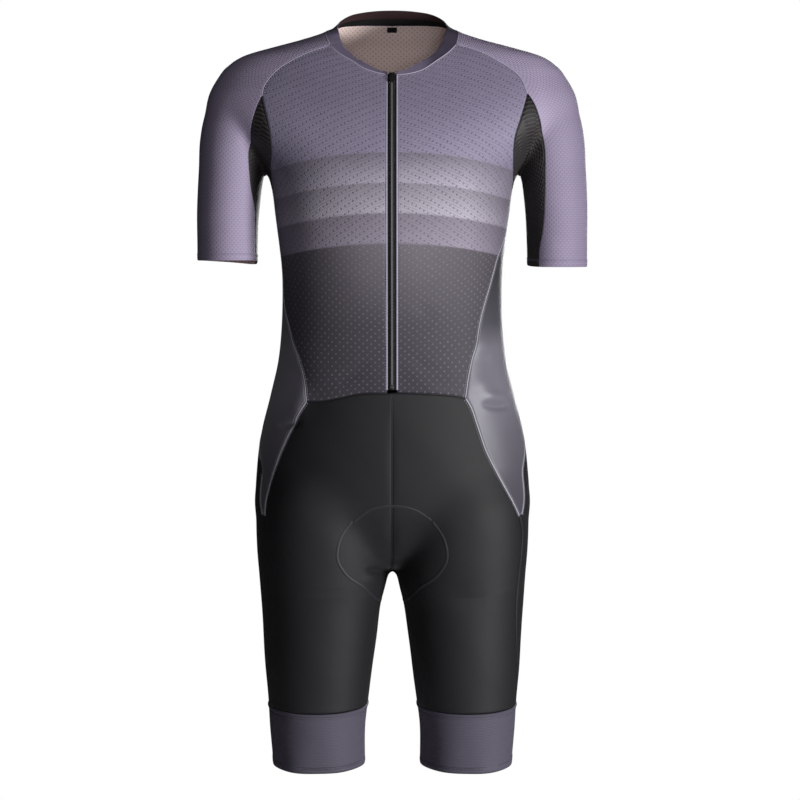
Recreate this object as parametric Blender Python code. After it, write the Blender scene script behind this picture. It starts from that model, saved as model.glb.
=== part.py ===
# Short sleeve cycling skinsuit, filled out as if worn, with every cut piece as its own solid.
# Metres, +Z up, the front faces -Y and the wearer's left is +X. The origin lies between the shoulders.
import bmesh
import bpy
import numpy as np

# Driving sizes, in metres
WALL = 0.0015  # cloth wall
SEAM_INSET = 0.0002  # each panel stops this far short of its seam line
MM = 0.001  # the seam tables are in millimetres
MELT_ARM = 0.018  # how softly a sleeve runs into the body
MELT_LEG = 0.022  # how softly a leg runs into the hips
MELT_LEGS = 0.012  # how softly the two legs meet
ARM_END = -0.340  # the arms' form goes no lower than this, clear of the hips
CHAIN_HALF = 0.0034  # half width of the coil; the front panels stop 6 mm from the middle of the zip
TAPE_INNER = 0.0037
TAPE_OUTER = 0.0057
CHAIN_TOP = -0.0555
ZIP_TOP = -0.0500
ZIP_BOTTOM = -0.4400
PAD_CLEAR = 0.0056  # between the shorts and the pad
PAD_THICK = 0.0040
FACING_WALL = 0.0010
FACING_GAP = 0.0004

# The body form by height: z, half width, front depth, back depth, squareness of the section
TORSO = np.array([
    (0.050, 0.0520, 0.020, 0.058, 2.5),
    (0.030, 0.0640, 0.026, 0.0675, 2.5),
    (0.020, 0.0730, 0.031, 0.0735, 2.4),
    (0.010, 0.0850, 0.036, 0.079, 2.25),
    (0.000, 0.1140, 0.043, 0.085, 2.05),
    (-0.010, 0.1530, 0.049, 0.089, 2.0),
    (-0.020, 0.1870, 0.054, 0.093, 2.05),
    (-0.035, 0.2110, 0.062, 0.098, 2.1),
    (-0.050, 0.2230, 0.070, 0.102, 2.15),
    (-0.070, 0.2320, 0.081, 0.106, 2.2),
    (-0.095, 0.2260, 0.094, 0.109, 2.2),
    (-0.120, 0.2040, 0.104, 0.111, 2.2),
    (-0.145, 0.1780, 0.111, 0.112, 2.2),
    (-0.168, 0.1610, 0.115, 0.112, 2.2),
    (-0.190, 0.1545, 0.117, 0.110, 2.2),
    (-0.222, 0.1500, 0.117, 0.106, 2.2),
    (-0.261, 0.1455, 0.114, 0.098, 2.2),
    (-0.300, 0.1420, 0.110, 0.090, 2.2),
    (-0.338, 0.1415, 0.107, 0.086, 2.2),
    (-0.377, 0.1440, 0.106, 0.087, 2.2),
    (-0.416, 0.1485, 0.106, 0.093, 2.2),
    (-0.455, 0.1580, 0.106, 0.102, 2.2),
    (-0.494, 0.1680, 0.105, 0.111, 2.2),
    (-0.533, 0.1745, 0.102, 0.117, 2.2),
    (-0.573, 0.1760, 0.097, 0.116, 2.2),
    (-0.612, 0.1680, 0.088, 0.106, 2.2),
    (-0.640, 0.1400, 0.072, 0.088, 2.1),
    (-0.661, 0.0950, 0.052, 0.064, 2.0),
    (-0.676, 0.0400, 0.030, 0.036, 2.0),
    (-0.682, 0.0100, 0.010, 0.010, 2.0),
])
# Each arm: z, middle x, half width, front depth, back depth, squareness
ARM = np.array([
    (-0.045, 0.1950, 0.0100, 0.004, 0.012, 2.0),
    (-0.070, 0.1960, 0.0340, 0.034, 0.052, 2.0),
    (-0.100, 0.1985, 0.0425, 0.046, 0.064, 2.0),
    (-0.127, 0.2020, 0.0440, 0.050, 0.067, 2.0),
    (-0.165, 0.2063, 0.0418, 0.051, 0.067, 2.0),
    (-0.190, 0.2088, 0.0408, 0.051, 0.065, 2.0),
    (-0.222, 0.2113, 0.0397, 0.050, 0.063, 2.0),
    (-0.261, 0.2121, 0.0386, 0.049, 0.060, 2.0),
    (-0.290, 0.2123, 0.0383, 0.048, 0.059, 2.0),
    (-0.320, 0.2123, 0.0383, 0.048, 0.059, 2.0),
])
# Each leg: z, middle x, half width, front depth, back depth, squareness
LEG = np.array([
    (-0.500, 0.0880, 0.0200, 0.020, 0.030, 2.0),
    (-0.540, 0.0900, 0.0620, 0.074, 0.098, 2.1),
    (-0.580, 0.0915, 0.0820, 0.091, 0.120, 2.2),
    (-0.612, 0.0920, 0.0850, 0.095, 0.123, 2.2),
    (-0.652, 0.0915, 0.0850, 0.093, 0.116, 2.2),
    (-0.690, 0.0900, 0.0835, 0.089, 0.104, 2.15),
    (-0.731, 0.0932, 0.0777, 0.085, 0.095, 2.1),
    (-0.771, 0.0947, 0.0740, 0.081, 0.088, 2.1),
    (-0.811, 0.0962, 0.0702, 0.077, 0.083, 2.1),
    (-0.851, 0.0973, 0.0660, 0.072, 0.078, 2.1),
    (-0.892, 0.0983, 0.0625, 0.068, 0.073, 2.1),
    (-0.932, 0.0974, 0.0604, 0.065, 0.069, 2.1),
    (-0.970, 0.0970, 0.0600, 0.063, 0.067, 2.1),
])

# Seam lines as x, y, z in millimetres. L is the wearer's left (+X) and R the wearer's right (-X).
# A line with one list is the same on both sides, given for +X.
SEAMS = {
    "zip_edge": [(6, -70.5, -51), (6, -92, -95), (6, -110, -150), (6, -117, -210), (6, -114, -260), (6, -109, -310),
                 (6, -106, -380), (6, -106, -443.5)],
    "collar_front_L": [(6, -70.5, -51), (20, -69, -49.5), (37, -66, -44.5), (55, -59, -32.5),
                       (72, -50, -19.5), (81, -41, -10)],
    "collar_front_R": [(-6, -70.5, -51), (-20, -68.5, -47.5), (-33, -65.5, -43), (-51, -58.5, -31.5),
                       (-68, -51, -21), (-78, -43, -11.5)],
    "collar_side_L": [(81, -41, -10), (84, -18, 5.5), (80, 3, 11), (68, 30, 18.5)],
    "collar_side_R": [(-78, -43, -11.5), (-84, -18, 5.5), (-80, 3, 11), (-68, 30, 18.5)],
    "collar_back": [(68, 30, 18.5), (50, 54, 24), (28, 66, 26), (0, 70, 26.5)],
    "raglan_front_L": [(81, -41, -10), (99, -42, -15), (115, -44, -21.5), (131, -46.5, -30.5),
                       (146, -48.5, -39.5), (160, -52, -51), (169, -60, -73.5)],
    "raglan_front_R": [(-78, -43, -11.5), (-93, -44.5, -16.5), (-109.5, -46, -23), (-127.5, -48.5, -32),
                       (-142.5, -51, -42), (-152, -54.5, -52), (-159.5, -58.5, -64), (-162, -64, -77)],
    "raglan_back": [(68, 30, 18.5), (90, 40, 3), (115, 58, -10), (140, 72, -32), (158, 76, -62), (165, 79, -90)],
    "gusset_chest_L": [(169, -60, -73.5), (159, -71, -106), (153, -72, -127), (152, -65, -143),
                       (152.5, -52, -158), (154.5, -32, -174), (155, -14, -192)],
    "gusset_chest_R": [(-162, -64, -77), (-157, -72, -98), (-152.7, -74, -114), (-151.4, -73, -126),
                       (-151, -63.5, -146), (-154, -40.5, -167), (-155, -14, -192)],
    "gusset_back": [(165, 79, -90), (158, 78, -118), (154, 68, -143), (155, 42, -166), (155, 14, -192)],
    "gusset_arm_L": [(169, -60, -73.5), (175.5, -61, -82.5), (182.5, -60, -98.5), (188, -53, -118),
                     (191.5, -48.5, -142), (192, -47.5, -172), (192, -45.5, -202), (190, -40.5, -243),
                     (186, -35, -271), (186, -35, -289)],
    "gusset_arm_R": [(-162, -64, -77), (-171.5, -65.5, -101), (-178, -50, -132), (-180.5, -41, -157),
                     (-178, -33.5, -191), (-174.5, -19, -220), (-175, -13, -255), (-175, -11, -281.5)],
    "gusset_arm_back": [(165, 79, -90), (176, 76, -112), (184, 62, -142), (186, 50, -180), (182, 40, -220),
                        (178, 30, -255), (177, 25, -286)],
    "armpit_front_arm": [(180, -26, -288), (182, -36, -230), (180, -40, -185), (172, -47, -150), (163, -58, -135)],
    "armpit_front_body": [(163, -58, -135), (156, -48, -157), (154.5, -25, -179), (155.5, -7, -192)],
    "armpit_back_arm": [(176, 16, -286), (177, 30, -230), (176, 40, -185), (168, 52, -150), (161, 62, -138)],
    "armpit_back_body": [(161, 62, -138), (156, 46, -160), (155, 26, -179), (155.5, 7, -192)],
    "armpit_arm": [(174, 0, -286), (171, 0, -222), (167, 0, -185), (162, 0, -167)],
    "armpit_body": [(162, 0, -167), (158, 0, -176), (156, 0, -192)],
    "side_top": [(155, -14, -192), (156, 0, -192), (155, 14, -192)],
    "side_front_L": [(155, -14, -192), (151, -20, -222), (146, -27, -250), (134, -46, -275), (126, -55, -300),
                     (114, -68, -341), (105, -77, -382), (94, -87, -432), (91.7, -90, -451.5)],
    "side_front_R": [(-155, -14, -192), (-151, -18, -222), (-147, -20, -255), (-143, -20, -300),
                     (-140, -27, -331), (-129, -50.5, -368), (-118.5, -67.5, -401), (-109, -79, -435),
                     (-106, -83, -456)],
    "hip_front_L": [(91.7, -90, -451.5), (97, -88, -460), (108, -84.5, -489.5), (118, -80, -518),
                    (130, -73, -543), (145, -70, -570), (155, -65, -590), (162, -58, -605)],
    "hip_front_R": [(-106, -83, -456), (-118, -78, -475), (-126, -74, -490.5), (-136.5, -68, -511.5),
                    (-144.5, -62, -531), (-151.5, -57.5, -550), (-159, -56.5, -578), (-162, -58, -605)],
    "side_back": [(155, 14, -192), (142, 35, -240), (120, 52, -300), (114, 55, -350), (125, 52, -400),
                  (142, 44, -440)],
    "hip_back": [(142, 44, -440), (155, 37, -460), (164, 25, -482), (171, 3, -506), (170, -22, -527),
                 (167, -36, -548), (169, -40, -576), (166, -52, -604)],
    "outseam": [(162, -58, -605), (166, -51.5, -626), (165, -51, -657), (161, -49, -693), (158, -48, -716),
                (157, -40, -765), (159, -26, -815), (160, -16, -859)],
    "waist_front_L": [(6, -106, -443), (56, -100.5, -446), (78.5, -94.5, -448.5), (91.7, -90, -451.5)],
    "waist_front_R": [(-6, -106, -444), (-40, -103.5, -445), (-67, -98, -451), (-86, -92.5, -455),
                      (-106, -83, -456)],
    "waist_back": [(142, 44, -440), (100, 75, -434), (50, 92, -430), (0, 96, -429)],
    "centre_front": [(0, -106, -443.5), (0, -105, -490), (0, -101, -535), (0, -94, -582), (0, -80, -632),
                     (0, -55, -668), (0, 0, -690)],
    "centre_back": [(0, 96, -429), (0, 111, -490), (0, 117, -540), (0, 112, -590), (0, 98, -632),
                    (0, 65, -668), (0, 0, -690)],
    "inseam": [(0, 0, -690), (8, 0, -700), (16.5, 0, -731), (22, 0, -771), (27, 0, -811), (32, 0, -859)],
    "band_top_front": [(32, 0, -859), (52, -50, -859), (98, -71, -859), (140, -54, -859), (160, -16, -859)],
    "band_top_back": [(160, -16, -859), (158, 28, -859), (98, 77, -859), (46, 50, -859), (32, 0, -859)],
    "band_inseam": [(32, 0, -859), (36, 0, -900), (37, 0, -939)],
    "band_outer": [(160, -16, -859), (159, -15, -900), (156, -14, -939)],
    "band_hem_front": [(37, 0, -939), (55, -46, -939), (97, -64.5, -939), (139, -46, -939), (156, -14, -939)],
    "band_hem_back": [(156, -14, -939), (152, 30, -939), (97, 68.5, -939), (50, 42, -939), (37, 0, -939)],
    "sleeve_hem_L": [(186, -35, -289), (212, -48, -289), (240, -33, -289), (250.5, 0, -289), (240, 42, -288),
                     (212, 59, -287), (188, 45, -286), (177, 25, -286)],
    "sleeve_hem_R": [(-175, -11, -281.5), (-182, -32, -281), (-212, -48, -281), (-240, -33, -281),
                     (-250.5, 0, -281), (-240, 42, -282), (-212, 59, -284), (-188, 45, -286), (-177, 25, -286)],
    "gusset_hem_L": [(186, -35, -289), (176, -14, -288), (174, 2, -287), (177, 25, -286)],
    "gusset_hem_R": [(-175, -11, -281.5), (-174, 4, -283), (-177, 25, -286)],
    "shoulder": [(83, -5, 9.5), (120, 5, 0), (165, 8, -12), (210, 8, -36), (235, 8, -70), (243, 8, -120),
                 (250, 8, -200), (250, 5, -287)],
    "sleeve_front": [(83, -26, 1), (130, -30, -12), (180, -35, -40), (212, -42, -85), (222, -46, -150),
                     (225, -46, -287)],
    "sleeve_back": [(76, 16, 14), (130, 50, -8), (180, 60, -38), (215, 60, -85), (222, 62, -150),
                    (225, 56, -286)],
    "back_middle": [(0, 70, 26.5), (0, 93, -20), (0, 109, -95), (0, 112, -165), (0, 106, -222), (0, 90, -300),
                    (0, 86, -370), (0, 96, -429)],
    "thigh_front": [(50, -101, -446), (85, -100, -520), (95, -95, -600), (92, -89, -690), (95, -80, -780),
                    (98, -71, -859)],
    "thigh_back": [(72, 87, -431), (85, 112, -520), (92, 123, -600), (91, 104, -690), (95, 86, -780),
                   (98, 77, -859)],
    "pad_front": [(-50, -89, -609), (-28, -92, -592), (0, -94, -587), (28, -92, -592), (50, -89, -606)],
    "pad_edge": [(50, -89, -606), (66, -91, -632), (69, -89, -655), (58, -83, -676), (38, -70, -693),
                 (23, -45, -712), (18, 0, -722), (26, 45, -712), (46, 85, -690), (64, 110, -655), (60, 118, -620)],
    "pad_middle": [(0, -94, -587), (0, -80, -632), (0, -55, -668), (0, 0, -690), (0, 65, -668),
                   (0, 98, -632), (0, 112, -600)],
    "pad_back": [(-60, 118, -620), (-30, 118, -604), (0, 112, -600), (30, 118, -604), (60, 118, -620)],
}
# The collar's top edge as x, y, z in millimetres, from the zip round to the middle of the back
RIM = [(6, -68.5, -46.5), (16, -66.5, -44.5), (30, -60.5, -36.5), (46, -51, -27), (61, -36, -10.5),
       (67.5, -14, 8.5), (70, 15, 19.5), (66, 40, 29.5), (52, 57, 38.5), (27, 65, 44), (0, 66.5, 45.5)]

# Cells along each seam line; lines that lie side by side get the same number
CELLS = {"collar_front": 7, "collar_side": 14, "collar_back": 9, "raglan": 7, "gusset_body": 5, "gusset_arm": 9,
         "side": 11, "hip": 8, "across_side": 6, "thigh": 11, "centre_front": 12, "centre_back": 13, "inseam": 7,
         "band_back": 9, "band_front": 8, "band_down": 3, "pad_across": 10, "pad_down": 16}
RELAX_ROUNDS = 200
SAME_WAY = np.array([0.31, 0.17, 1.0])  # two rims that face each other are cut into triangles the same way

# Zip slider and pull, in the slider's own frame: across, down the zip, out from the cloth (metres)
SLIDER_AT = -0.0530
PLATE = (0.0078, 0.0088, 0.0010)
PLATE_OUT = 0.0012
POST = (0.0022, 0.0018)
BOTTOM_PLATE_OUT = -0.0034
LUG = (0.0016, 0.0052, 0.0026)
LUG_BAR = 0.0007
PIN_HEIGHT = 0.0010  # the pull's bar above the top plate
PIN_RADIUS = 0.00045
TAB = (0.0050, 0.0105, 0.0011)
TAB_WINDOW = (0.0026, 0.0034)

COLOURS = {
    "jersey_knit": (0.14, 0.11, 0.17),
    "chest_knit": (0.10, 0.08, 0.13),
    "mesh_black": (0.012, 0.012, 0.013),
    "side_knit": (0.13, 0.11, 0.15),
    "shorts_lycra": (0.006, 0.006, 0.007),
    "band_knit": (0.08, 0.07, 0.10),
    "collar_knit": (0.13, 0.11, 0.17),
    "facing_maroon": (0.05, 0.02, 0.02),
    "tape_black": (0.01, 0.01, 0.01),
    "coil_grey": (0.08, 0.09, 0.085),
    "metal_black": (0.02, 0.02, 0.02),
    "pad_foam": (0.05, 0.05, 0.055),
}


# The body form
def column(z, rows):
    """Values of a table at the heights z: cubics through the rows whose slopes come from the rows beside them."""
    zs, values = rows[::-1, 0], rows[::-1, 1:]
    z = np.clip(z, zs[0], zs[-1])
    slopes = np.gradient(values, zs, axis=0)
    i = np.clip(np.searchsorted(zs, z) - 1, 0, len(zs) - 2)
    h = (zs[i + 1] - zs[i])[:, None]
    t = ((z - zs[i]) / h[:, 0])[:, None]
    lower = (2 * t**3 - 3 * t**2 + 1) * values[i] + (t**3 - 2 * t**2 + t) * h * slopes[i]
    return lower + (3 * t**2 - 2 * t**3) * values[i + 1] + (t**3 - t**2) * h * slopes[i + 1]


def section(x, y, half, front, back, square):
    """Distance out of a section along the line from its middle: r * (1 - 1/s), s = (|x/a|^n + |y/b|^n)^(1/n)."""
    depth = np.where(y < 0, front, back)
    s = (np.abs(x / half) ** square + np.abs(y / depth) ** square) ** (1 / square)
    return np.hypot(x, y) * (1 - 1 / np.maximum(s, 1e-3))


def melt(a, b, k):
    """The smaller of two distances, rounded where they are within k: min(a, b) - h^3 k / 6, h = 1 - |a - b| / k."""
    h = np.maximum(k - np.abs(a - b), 0) / k
    return np.minimum(a, b) - h**3 * k / 6


def form(p):
    """Signed distance to the filled garment, negative inside: body, two arms and two legs melted together."""
    x, y, z = p[:, 0], p[:, 1], p[:, 2]
    half, front, back, square = column(z, TORSO).T
    body = np.maximum(section(x, y, half, front, back, square), TORSO[-1, 0] - z)
    middle, half, front, back, square = column(z, ARM).T
    arms = section(np.abs(x) - middle, y, half, front, back, square)
    arms = np.maximum(np.maximum(arms, z - ARM[0, 0]), ARM_END - z)
    middle, half, front, back, square = column(z, LEG).T
    legs = [section(x - s * middle, y, half, front, back, square) for s in (1, -1)]
    legs = [np.maximum(leg, z - LEG[0, 0]) for leg in legs]
    return melt(melt(body, arms, MELT_ARM), melt(legs[0], legs[1], MELT_LEGS), MELT_LEG)


def gradient(p, step=2e-4):
    """Central differences of the form at the points p."""
    moves = step * np.eye(3)
    return np.stack([(form(p + m) - form(p - m)) / (2 * step) for m in moves], 1)


def settle(p, depth=0.0, rounds=12):
    """Moves points along the form's gradient until the form is -depth there."""
    p = np.array(p, float)
    flat = p.reshape(-1, 3)
    for _ in range(rounds):
        g = gradient(flat)
        step = (form(flat) + depth) / np.maximum((g**2).sum(1), 0.05)
        flat = flat - np.clip(step, -0.02, 0.02)[:, None] * g
    return flat.reshape(p.shape)


def normals_at(p):
    g = gradient(p.reshape(-1, 3))
    return (g / np.linalg.norm(g, axis=1, keepdims=True)).reshape(p.shape)


# Seam lines
def spline(points, count):
    """Points along a Catmull-Rom curve through the given points, spaced by chord length."""
    points = np.asarray(points, float)
    chord = np.concatenate([[0], np.cumsum(np.linalg.norm(np.diff(points, axis=0), axis=1))])
    slopes = np.gradient(points, chord, axis=0)
    s = np.linspace(0, chord[-1], count)
    i = np.clip(np.searchsorted(chord, s) - 1, 0, len(chord) - 2)
    h = (chord[i + 1] - chord[i])[:, None]
    t = (s - chord[i])[:, None] / h
    lower = (2 * t**3 - 3 * t**2 + 1) * points[i] + (t**3 - 2 * t**2 + t) * h * slopes[i]
    return lower + (3 * t**2 - 2 * t**3) * points[i + 1] + (t**3 - t**2) * h * slopes[i + 1]


def even(line, cells):
    """The line cut into so many cells of equal length."""
    length = np.concatenate([[0], np.cumsum(np.linalg.norm(np.diff(line, axis=0), axis=1))])
    s = np.linspace(0, length[-1], cells + 1)
    return np.stack([np.interp(s, length, line[:, k]) for k in range(3)], 1)


def seam(name, side, cells, depth=0.0):
    """A seam line of one side (1 for the wearer's left, -1 for the right) laid on the form and cut evenly."""
    own = name + ("_L" if side > 0 else "_R")
    points = np.array(SEAMS[own] if own in SEAMS else SEAMS[name], float) * MM
    if own not in SEAMS:
        points[:, 0] *= side
    points = settle(points, depth)
    line = settle(spline(points, 12 * len(points)), depth, 4)
    line[0], line[-1] = points[0], points[-1]
    return settle(even(line, cells), depth, 4)


def join(*lines):
    """Lines end to end, each shared point once."""
    return np.concatenate([lines[0]] + [line[1:] for line in lines[1:]])


# Panels
def patch(columns, top, bottom, depth=0.0):
    """A grid on the form between its edge columns, its guide columns and its top and bottom edges, eased evenly."""
    columns = np.stack(columns, 1)
    rows, guides = columns.shape[:2]
    u = np.linspace(0, 1, len(top))
    at = np.linspace(0, 1, guides)
    if guides == 2:
        grid = columns[:, :1] * (1 - u)[None, :, None] + columns[:, 1:] * u[None, :, None]
    else:
        slopes = np.gradient(columns, at, axis=1)
        i = np.clip(np.searchsorted(at, u) - 1, 0, guides - 2)
        h = at[1]
        t = ((u - at[i]) / h)[None, :, None]
        grid = (2 * t**3 - 3 * t**2 + 1) * columns[:, i] + (t**3 - 2 * t**2 + t) * h * slopes[:, i]
        grid += (3 * t**2 - 2 * t**3) * columns[:, i + 1] + (t**3 - t**2) * h * slopes[:, i + 1]
    v = np.linspace(0, 1, rows)[:, None, None]
    grid = grid + (1 - v) * (top - grid[0])[None] + v * (bottom - grid[-1])[None]
    grid[:, 0], grid[:, -1] = columns[:, 0], columns[:, -1]
    grid[0], grid[-1] = top, bottom
    inside = settle(grid[1:-1, 1:-1], depth)
    for _ in range(RELAX_ROUNDS):
        grid[1:-1, 1:-1] = inside
        pull = (grid[:-2, 1:-1] + grid[2:, 1:-1] + grid[1:-1, :-2] + grid[1:-1, 2:]) / 4 - inside
        n = normals_at(inside)
        pull -= (pull * n).sum(2, keepdims=True) * n
        inside = settle(inside + 0.8 * pull, depth, 1)
    grid[1:-1, 1:-1] = settle(inside, depth, 6)
    return grid


def inward(grid, normals):
    """How far each edge point moves into its panel, so that the panel stops short of its seam lines."""
    move = np.zeros_like(grid)
    edges = [((0, slice(None)), (1, slice(None))), ((-1, slice(None)), (-2, slice(None))),
             ((slice(None), 0), (slice(None), 1)), ((slice(None), -1), (slice(None), -2))]
    for edge, next_row in edges:
        line, n = grid[edge], normals[edge]
        along = np.gradient(line, axis=0)
        aside = np.cross(n, along)
        aside /= np.linalg.norm(aside, axis=1, keepdims=True)
        facing = np.sign(((grid[next_row] - line) * aside).sum(1))
        facing = np.sign(np.median(facing)) * np.ones(len(line))
        move[edge] += SEAM_INSET * facing[:, None] * aside
    return move


def tidy_mesh(name, vertices, faces, material):
    mesh = bpy.data.meshes.new(name)
    mesh.from_pydata([tuple(v) for v in vertices], [], faces)
    solid = bmesh.new()
    solid.from_mesh(mesh)
    bmesh.ops.recalc_face_normals(solid, faces=solid.faces)
    solid.to_mesh(mesh)
    solid.free()
    mesh.materials.append(MATERIALS[material])
    mesh.shade_smooth()
    mesh.set_sharp_from_angle(angle=0.7)
    obj = bpy.data.objects.new(name, mesh)
    bpy.context.scene.collection.objects.link(obj)
    return obj


def wall(name, outer, inner, material):
    """A closed wall between two grids of the same size, with a rim round all four edges."""
    rows, cols = outer.shape[:2]
    vertices = np.concatenate([outer.reshape(-1, 3), inner.reshape(-1, 3)])
    index = np.arange(rows * cols).reshape(rows, cols)
    under = index + rows * cols
    faces = []
    for r in range(rows - 1):
        for c in range(cols - 1):
            a, b, d, e = (r, c), (r, c + 1), (r + 1, c + 1), (r + 1, c)
            if np.linalg.norm(outer[a] - outer[d]) <= np.linalg.norm(outer[b] - outer[e]):
                halves = [(a, b, d), (a, d, e)]
            else:
                halves = [(a, b, e), (b, d, e)]
            for half in halves:
                faces.append([int(index[k]) for k in half])
                faces.append([int(under[k]) for k in reversed(half)])
    ring = [(0, c) for c in range(cols)] + [(r, cols - 1) for r in range(1, rows)]
    ring += [(rows - 1, c) for c in range(cols - 2, -1, -1)] + [(r, 0) for r in range(rows - 2, 0, -1)]
    for k, a in enumerate(ring):
        b = ring[(k + 1) % len(ring)]
        if (outer[a] - outer[b]) @ SAME_WAY > 0:
            a, b = b, a
        faces.append([int(index[a]), int(under[a]), int(index[b])])
        faces.append([int(index[b]), int(under[a]), int(under[b])])
    return tidy_mesh(name, vertices, faces, material)


def panel(name, grid, material, depth=0.0, thick=WALL):
    """A cloth wall whose outer face is the grid, set in from its seam lines."""
    n = normals_at(grid)
    outer = grid + inward(grid, n)
    return wall(name, outer, outer - thick * n, material)


def side_name(word, side):
    return word + ("_left" if side > 0 else "_right")


def build_jersey():
    c = CELLS
    sides = {}
    for side in (1, -1):
        line = {
            "collar_front": seam("collar_front", side, c["collar_front"]),
            "collar_side": seam("collar_side", side, c["collar_side"]),
            "collar_back": seam("collar_back", side, c["collar_back"]),
            "raglan_front": seam("raglan_front", side, c["raglan"]),
            "raglan_back": seam("raglan_back", side, c["raglan"]),
            "gusset_chest": seam("gusset_chest", side, c["gusset_body"]),
            "gusset_back": seam("gusset_back", side, c["gusset_body"]),
            "gusset_arm": seam("gusset_arm", side, c["gusset_arm"]),
            "gusset_arm_back": seam("gusset_arm_back", side, c["gusset_arm"]),
            "side_front": seam("side_front", side, c["side"]),
            "side_back": seam("side_back", side, c["side"]),
            "side_top": seam("side_top", side, c["across_side"]),
            "hip_front": seam("hip_front", side, c["hip"]),
            "hip_back": seam("hip_back", side, c["hip"]),
            "waist_front": seam("waist_front", side, c["collar_front"]),
            "waist_back": seam("waist_back", side, c["collar_back"]),
        }
        sides[side] = line
        down_front = join(line["raglan_front"], line["gusset_chest"], line["side_front"])
        rows = len(down_front) - 1
        zip_edge = seam("zip_edge", side, rows)
        zip_edge[0], zip_edge[-1] = line["collar_front"][0], line["waist_front"][0]
        grid = patch([zip_edge, down_front], line["collar_front"], line["waist_front"])
        panel(side_name("front", side), grid, "chest_knit")
        down_arm = join(line["raglan_front"], line["gusset_arm"])
        down_arm_back = join(line["raglan_back"], line["gusset_arm_back"])
        rows = len(down_arm) - 1
        guides = [seam(name, side, rows) for name in ("sleeve_front", "shoulder", "sleeve_back")]
        hem = seam("sleeve_hem", side, c["collar_side"])
        grid = patch([down_arm, *guides, down_arm_back], line["collar_side"], hem)
        panel(side_name("sleeve", side), grid, "jersey_knit")
        front_edge = join(line["gusset_arm"][::-1], line["gusset_chest"])
        back_edge = join(line["gusset_arm_back"][::-1], line["gusset_back"])
        guides = [join(seam(name + "_arm", side, c["gusset_arm"]), seam(name + "_body", side, c["gusset_body"]))
                  for name in ("armpit_front", "armpit", "armpit_back")]
        hem = seam("gusset_hem", side, c["across_side"])
        grid = patch([front_edge, *guides, back_edge], hem, line["side_top"])
        panel(side_name("underarm", side), grid, "mesh_black")
        front_edge = join(line["side_front"], line["hip_front"])
        back_edge = join(line["side_back"], line["hip_back"])
        tip = even(np.stack([line["hip_front"][-1], line["hip_back"][-1]]), c["across_side"])
        grid = patch([front_edge, back_edge], line["side_top"], tip)
        panel(side_name("side", side), grid, "side_knit")
    columns = []
    for side in (-1, 1):
        line = sides[side]
        columns.append(join(line["raglan_back"], line["gusset_back"], line["side_back"]))
    middle = seam("back_middle", 1, len(columns[0]) - 1)
    top = join(sides[-1]["collar_back"], sides[1]["collar_back"][::-1])
    bottom = join(sides[-1]["waist_back"], sides[1]["waist_back"][::-1])
    panel("back", patch([columns[0], middle, columns[1]], top, bottom), "jersey_knit")
    return sides


def build_shorts(sides):
    c = CELLS
    for side, line in sides.items():
        inseam = seam("inseam", side, c["inseam"])
        outseam = seam("outseam", side, c["thigh"])
        outseam[0] = line["hip_front"][-1]
        centre = join(seam("centre_front", 1, c["centre_front"]), inseam)
        outer = join(line["hip_front"], outseam)
        top = np.concatenate([centre[:1], line["waist_front"]])
        bottom = seam("band_top_front", side, c["band_front"])
        grid = patch([centre, seam("thigh_front", side, len(centre) - 1), outer], top, bottom)
        panel(side_name("shorts_front", side), grid, "shorts_lycra")
        centre = join(seam("centre_back", 1, c["centre_back"]), inseam)
        outer = np.concatenate([line["hip_back"], outseam])
        top = line["waist_back"][::-1]
        bottom_back = seam("band_top_back", side, c["band_back"])
        grid = patch([centre, seam("thigh_back", side, len(centre) - 1), outer], top, bottom_back[::-1])
        panel(side_name("shorts_back", side), grid, "shorts_lycra")
        band = seam("band_inseam", side, c["band_down"])
        hem = join(seam("band_hem_front", side, c["band_front"]), seam("band_hem_back", side, c["band_back"]))
        ring = join(bottom, bottom_back)
        v = np.linspace(0, 1, c["band_down"] + 1)[:, None, None]
        grid = settle(ring[None] * (1 - v) + hem[None] * v, 0.0, 8)
        grid[:, 0], grid[:, -1] = band, band
        grid[0], grid[-1] = ring, hem
        panel(side_name("leg_band", side), grid, "band_knit")


def build_pad():
    c = CELLS
    depth = WALL + PAD_CLEAR
    edges = [seam("pad_edge", side, c["pad_down"], depth) for side in (-1, 1)]
    front = seam("pad_front", 1, c["pad_across"], depth)
    back = seam("pad_back", 1, c["pad_across"], depth)
    edges[0][0], edges[0][-1] = front[0], back[0]
    edges[1][0], edges[1][-1] = front[-1], back[-1]
    middle = seam("pad_middle", 1, c["pad_down"], depth)
    grid = patch([edges[0], middle, edges[1]], front, back, depth)
    wall("pad", grid, settle(grid - PAD_THICK * normals_at(grid), depth + PAD_THICK, 4), "pad_foam")


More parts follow.
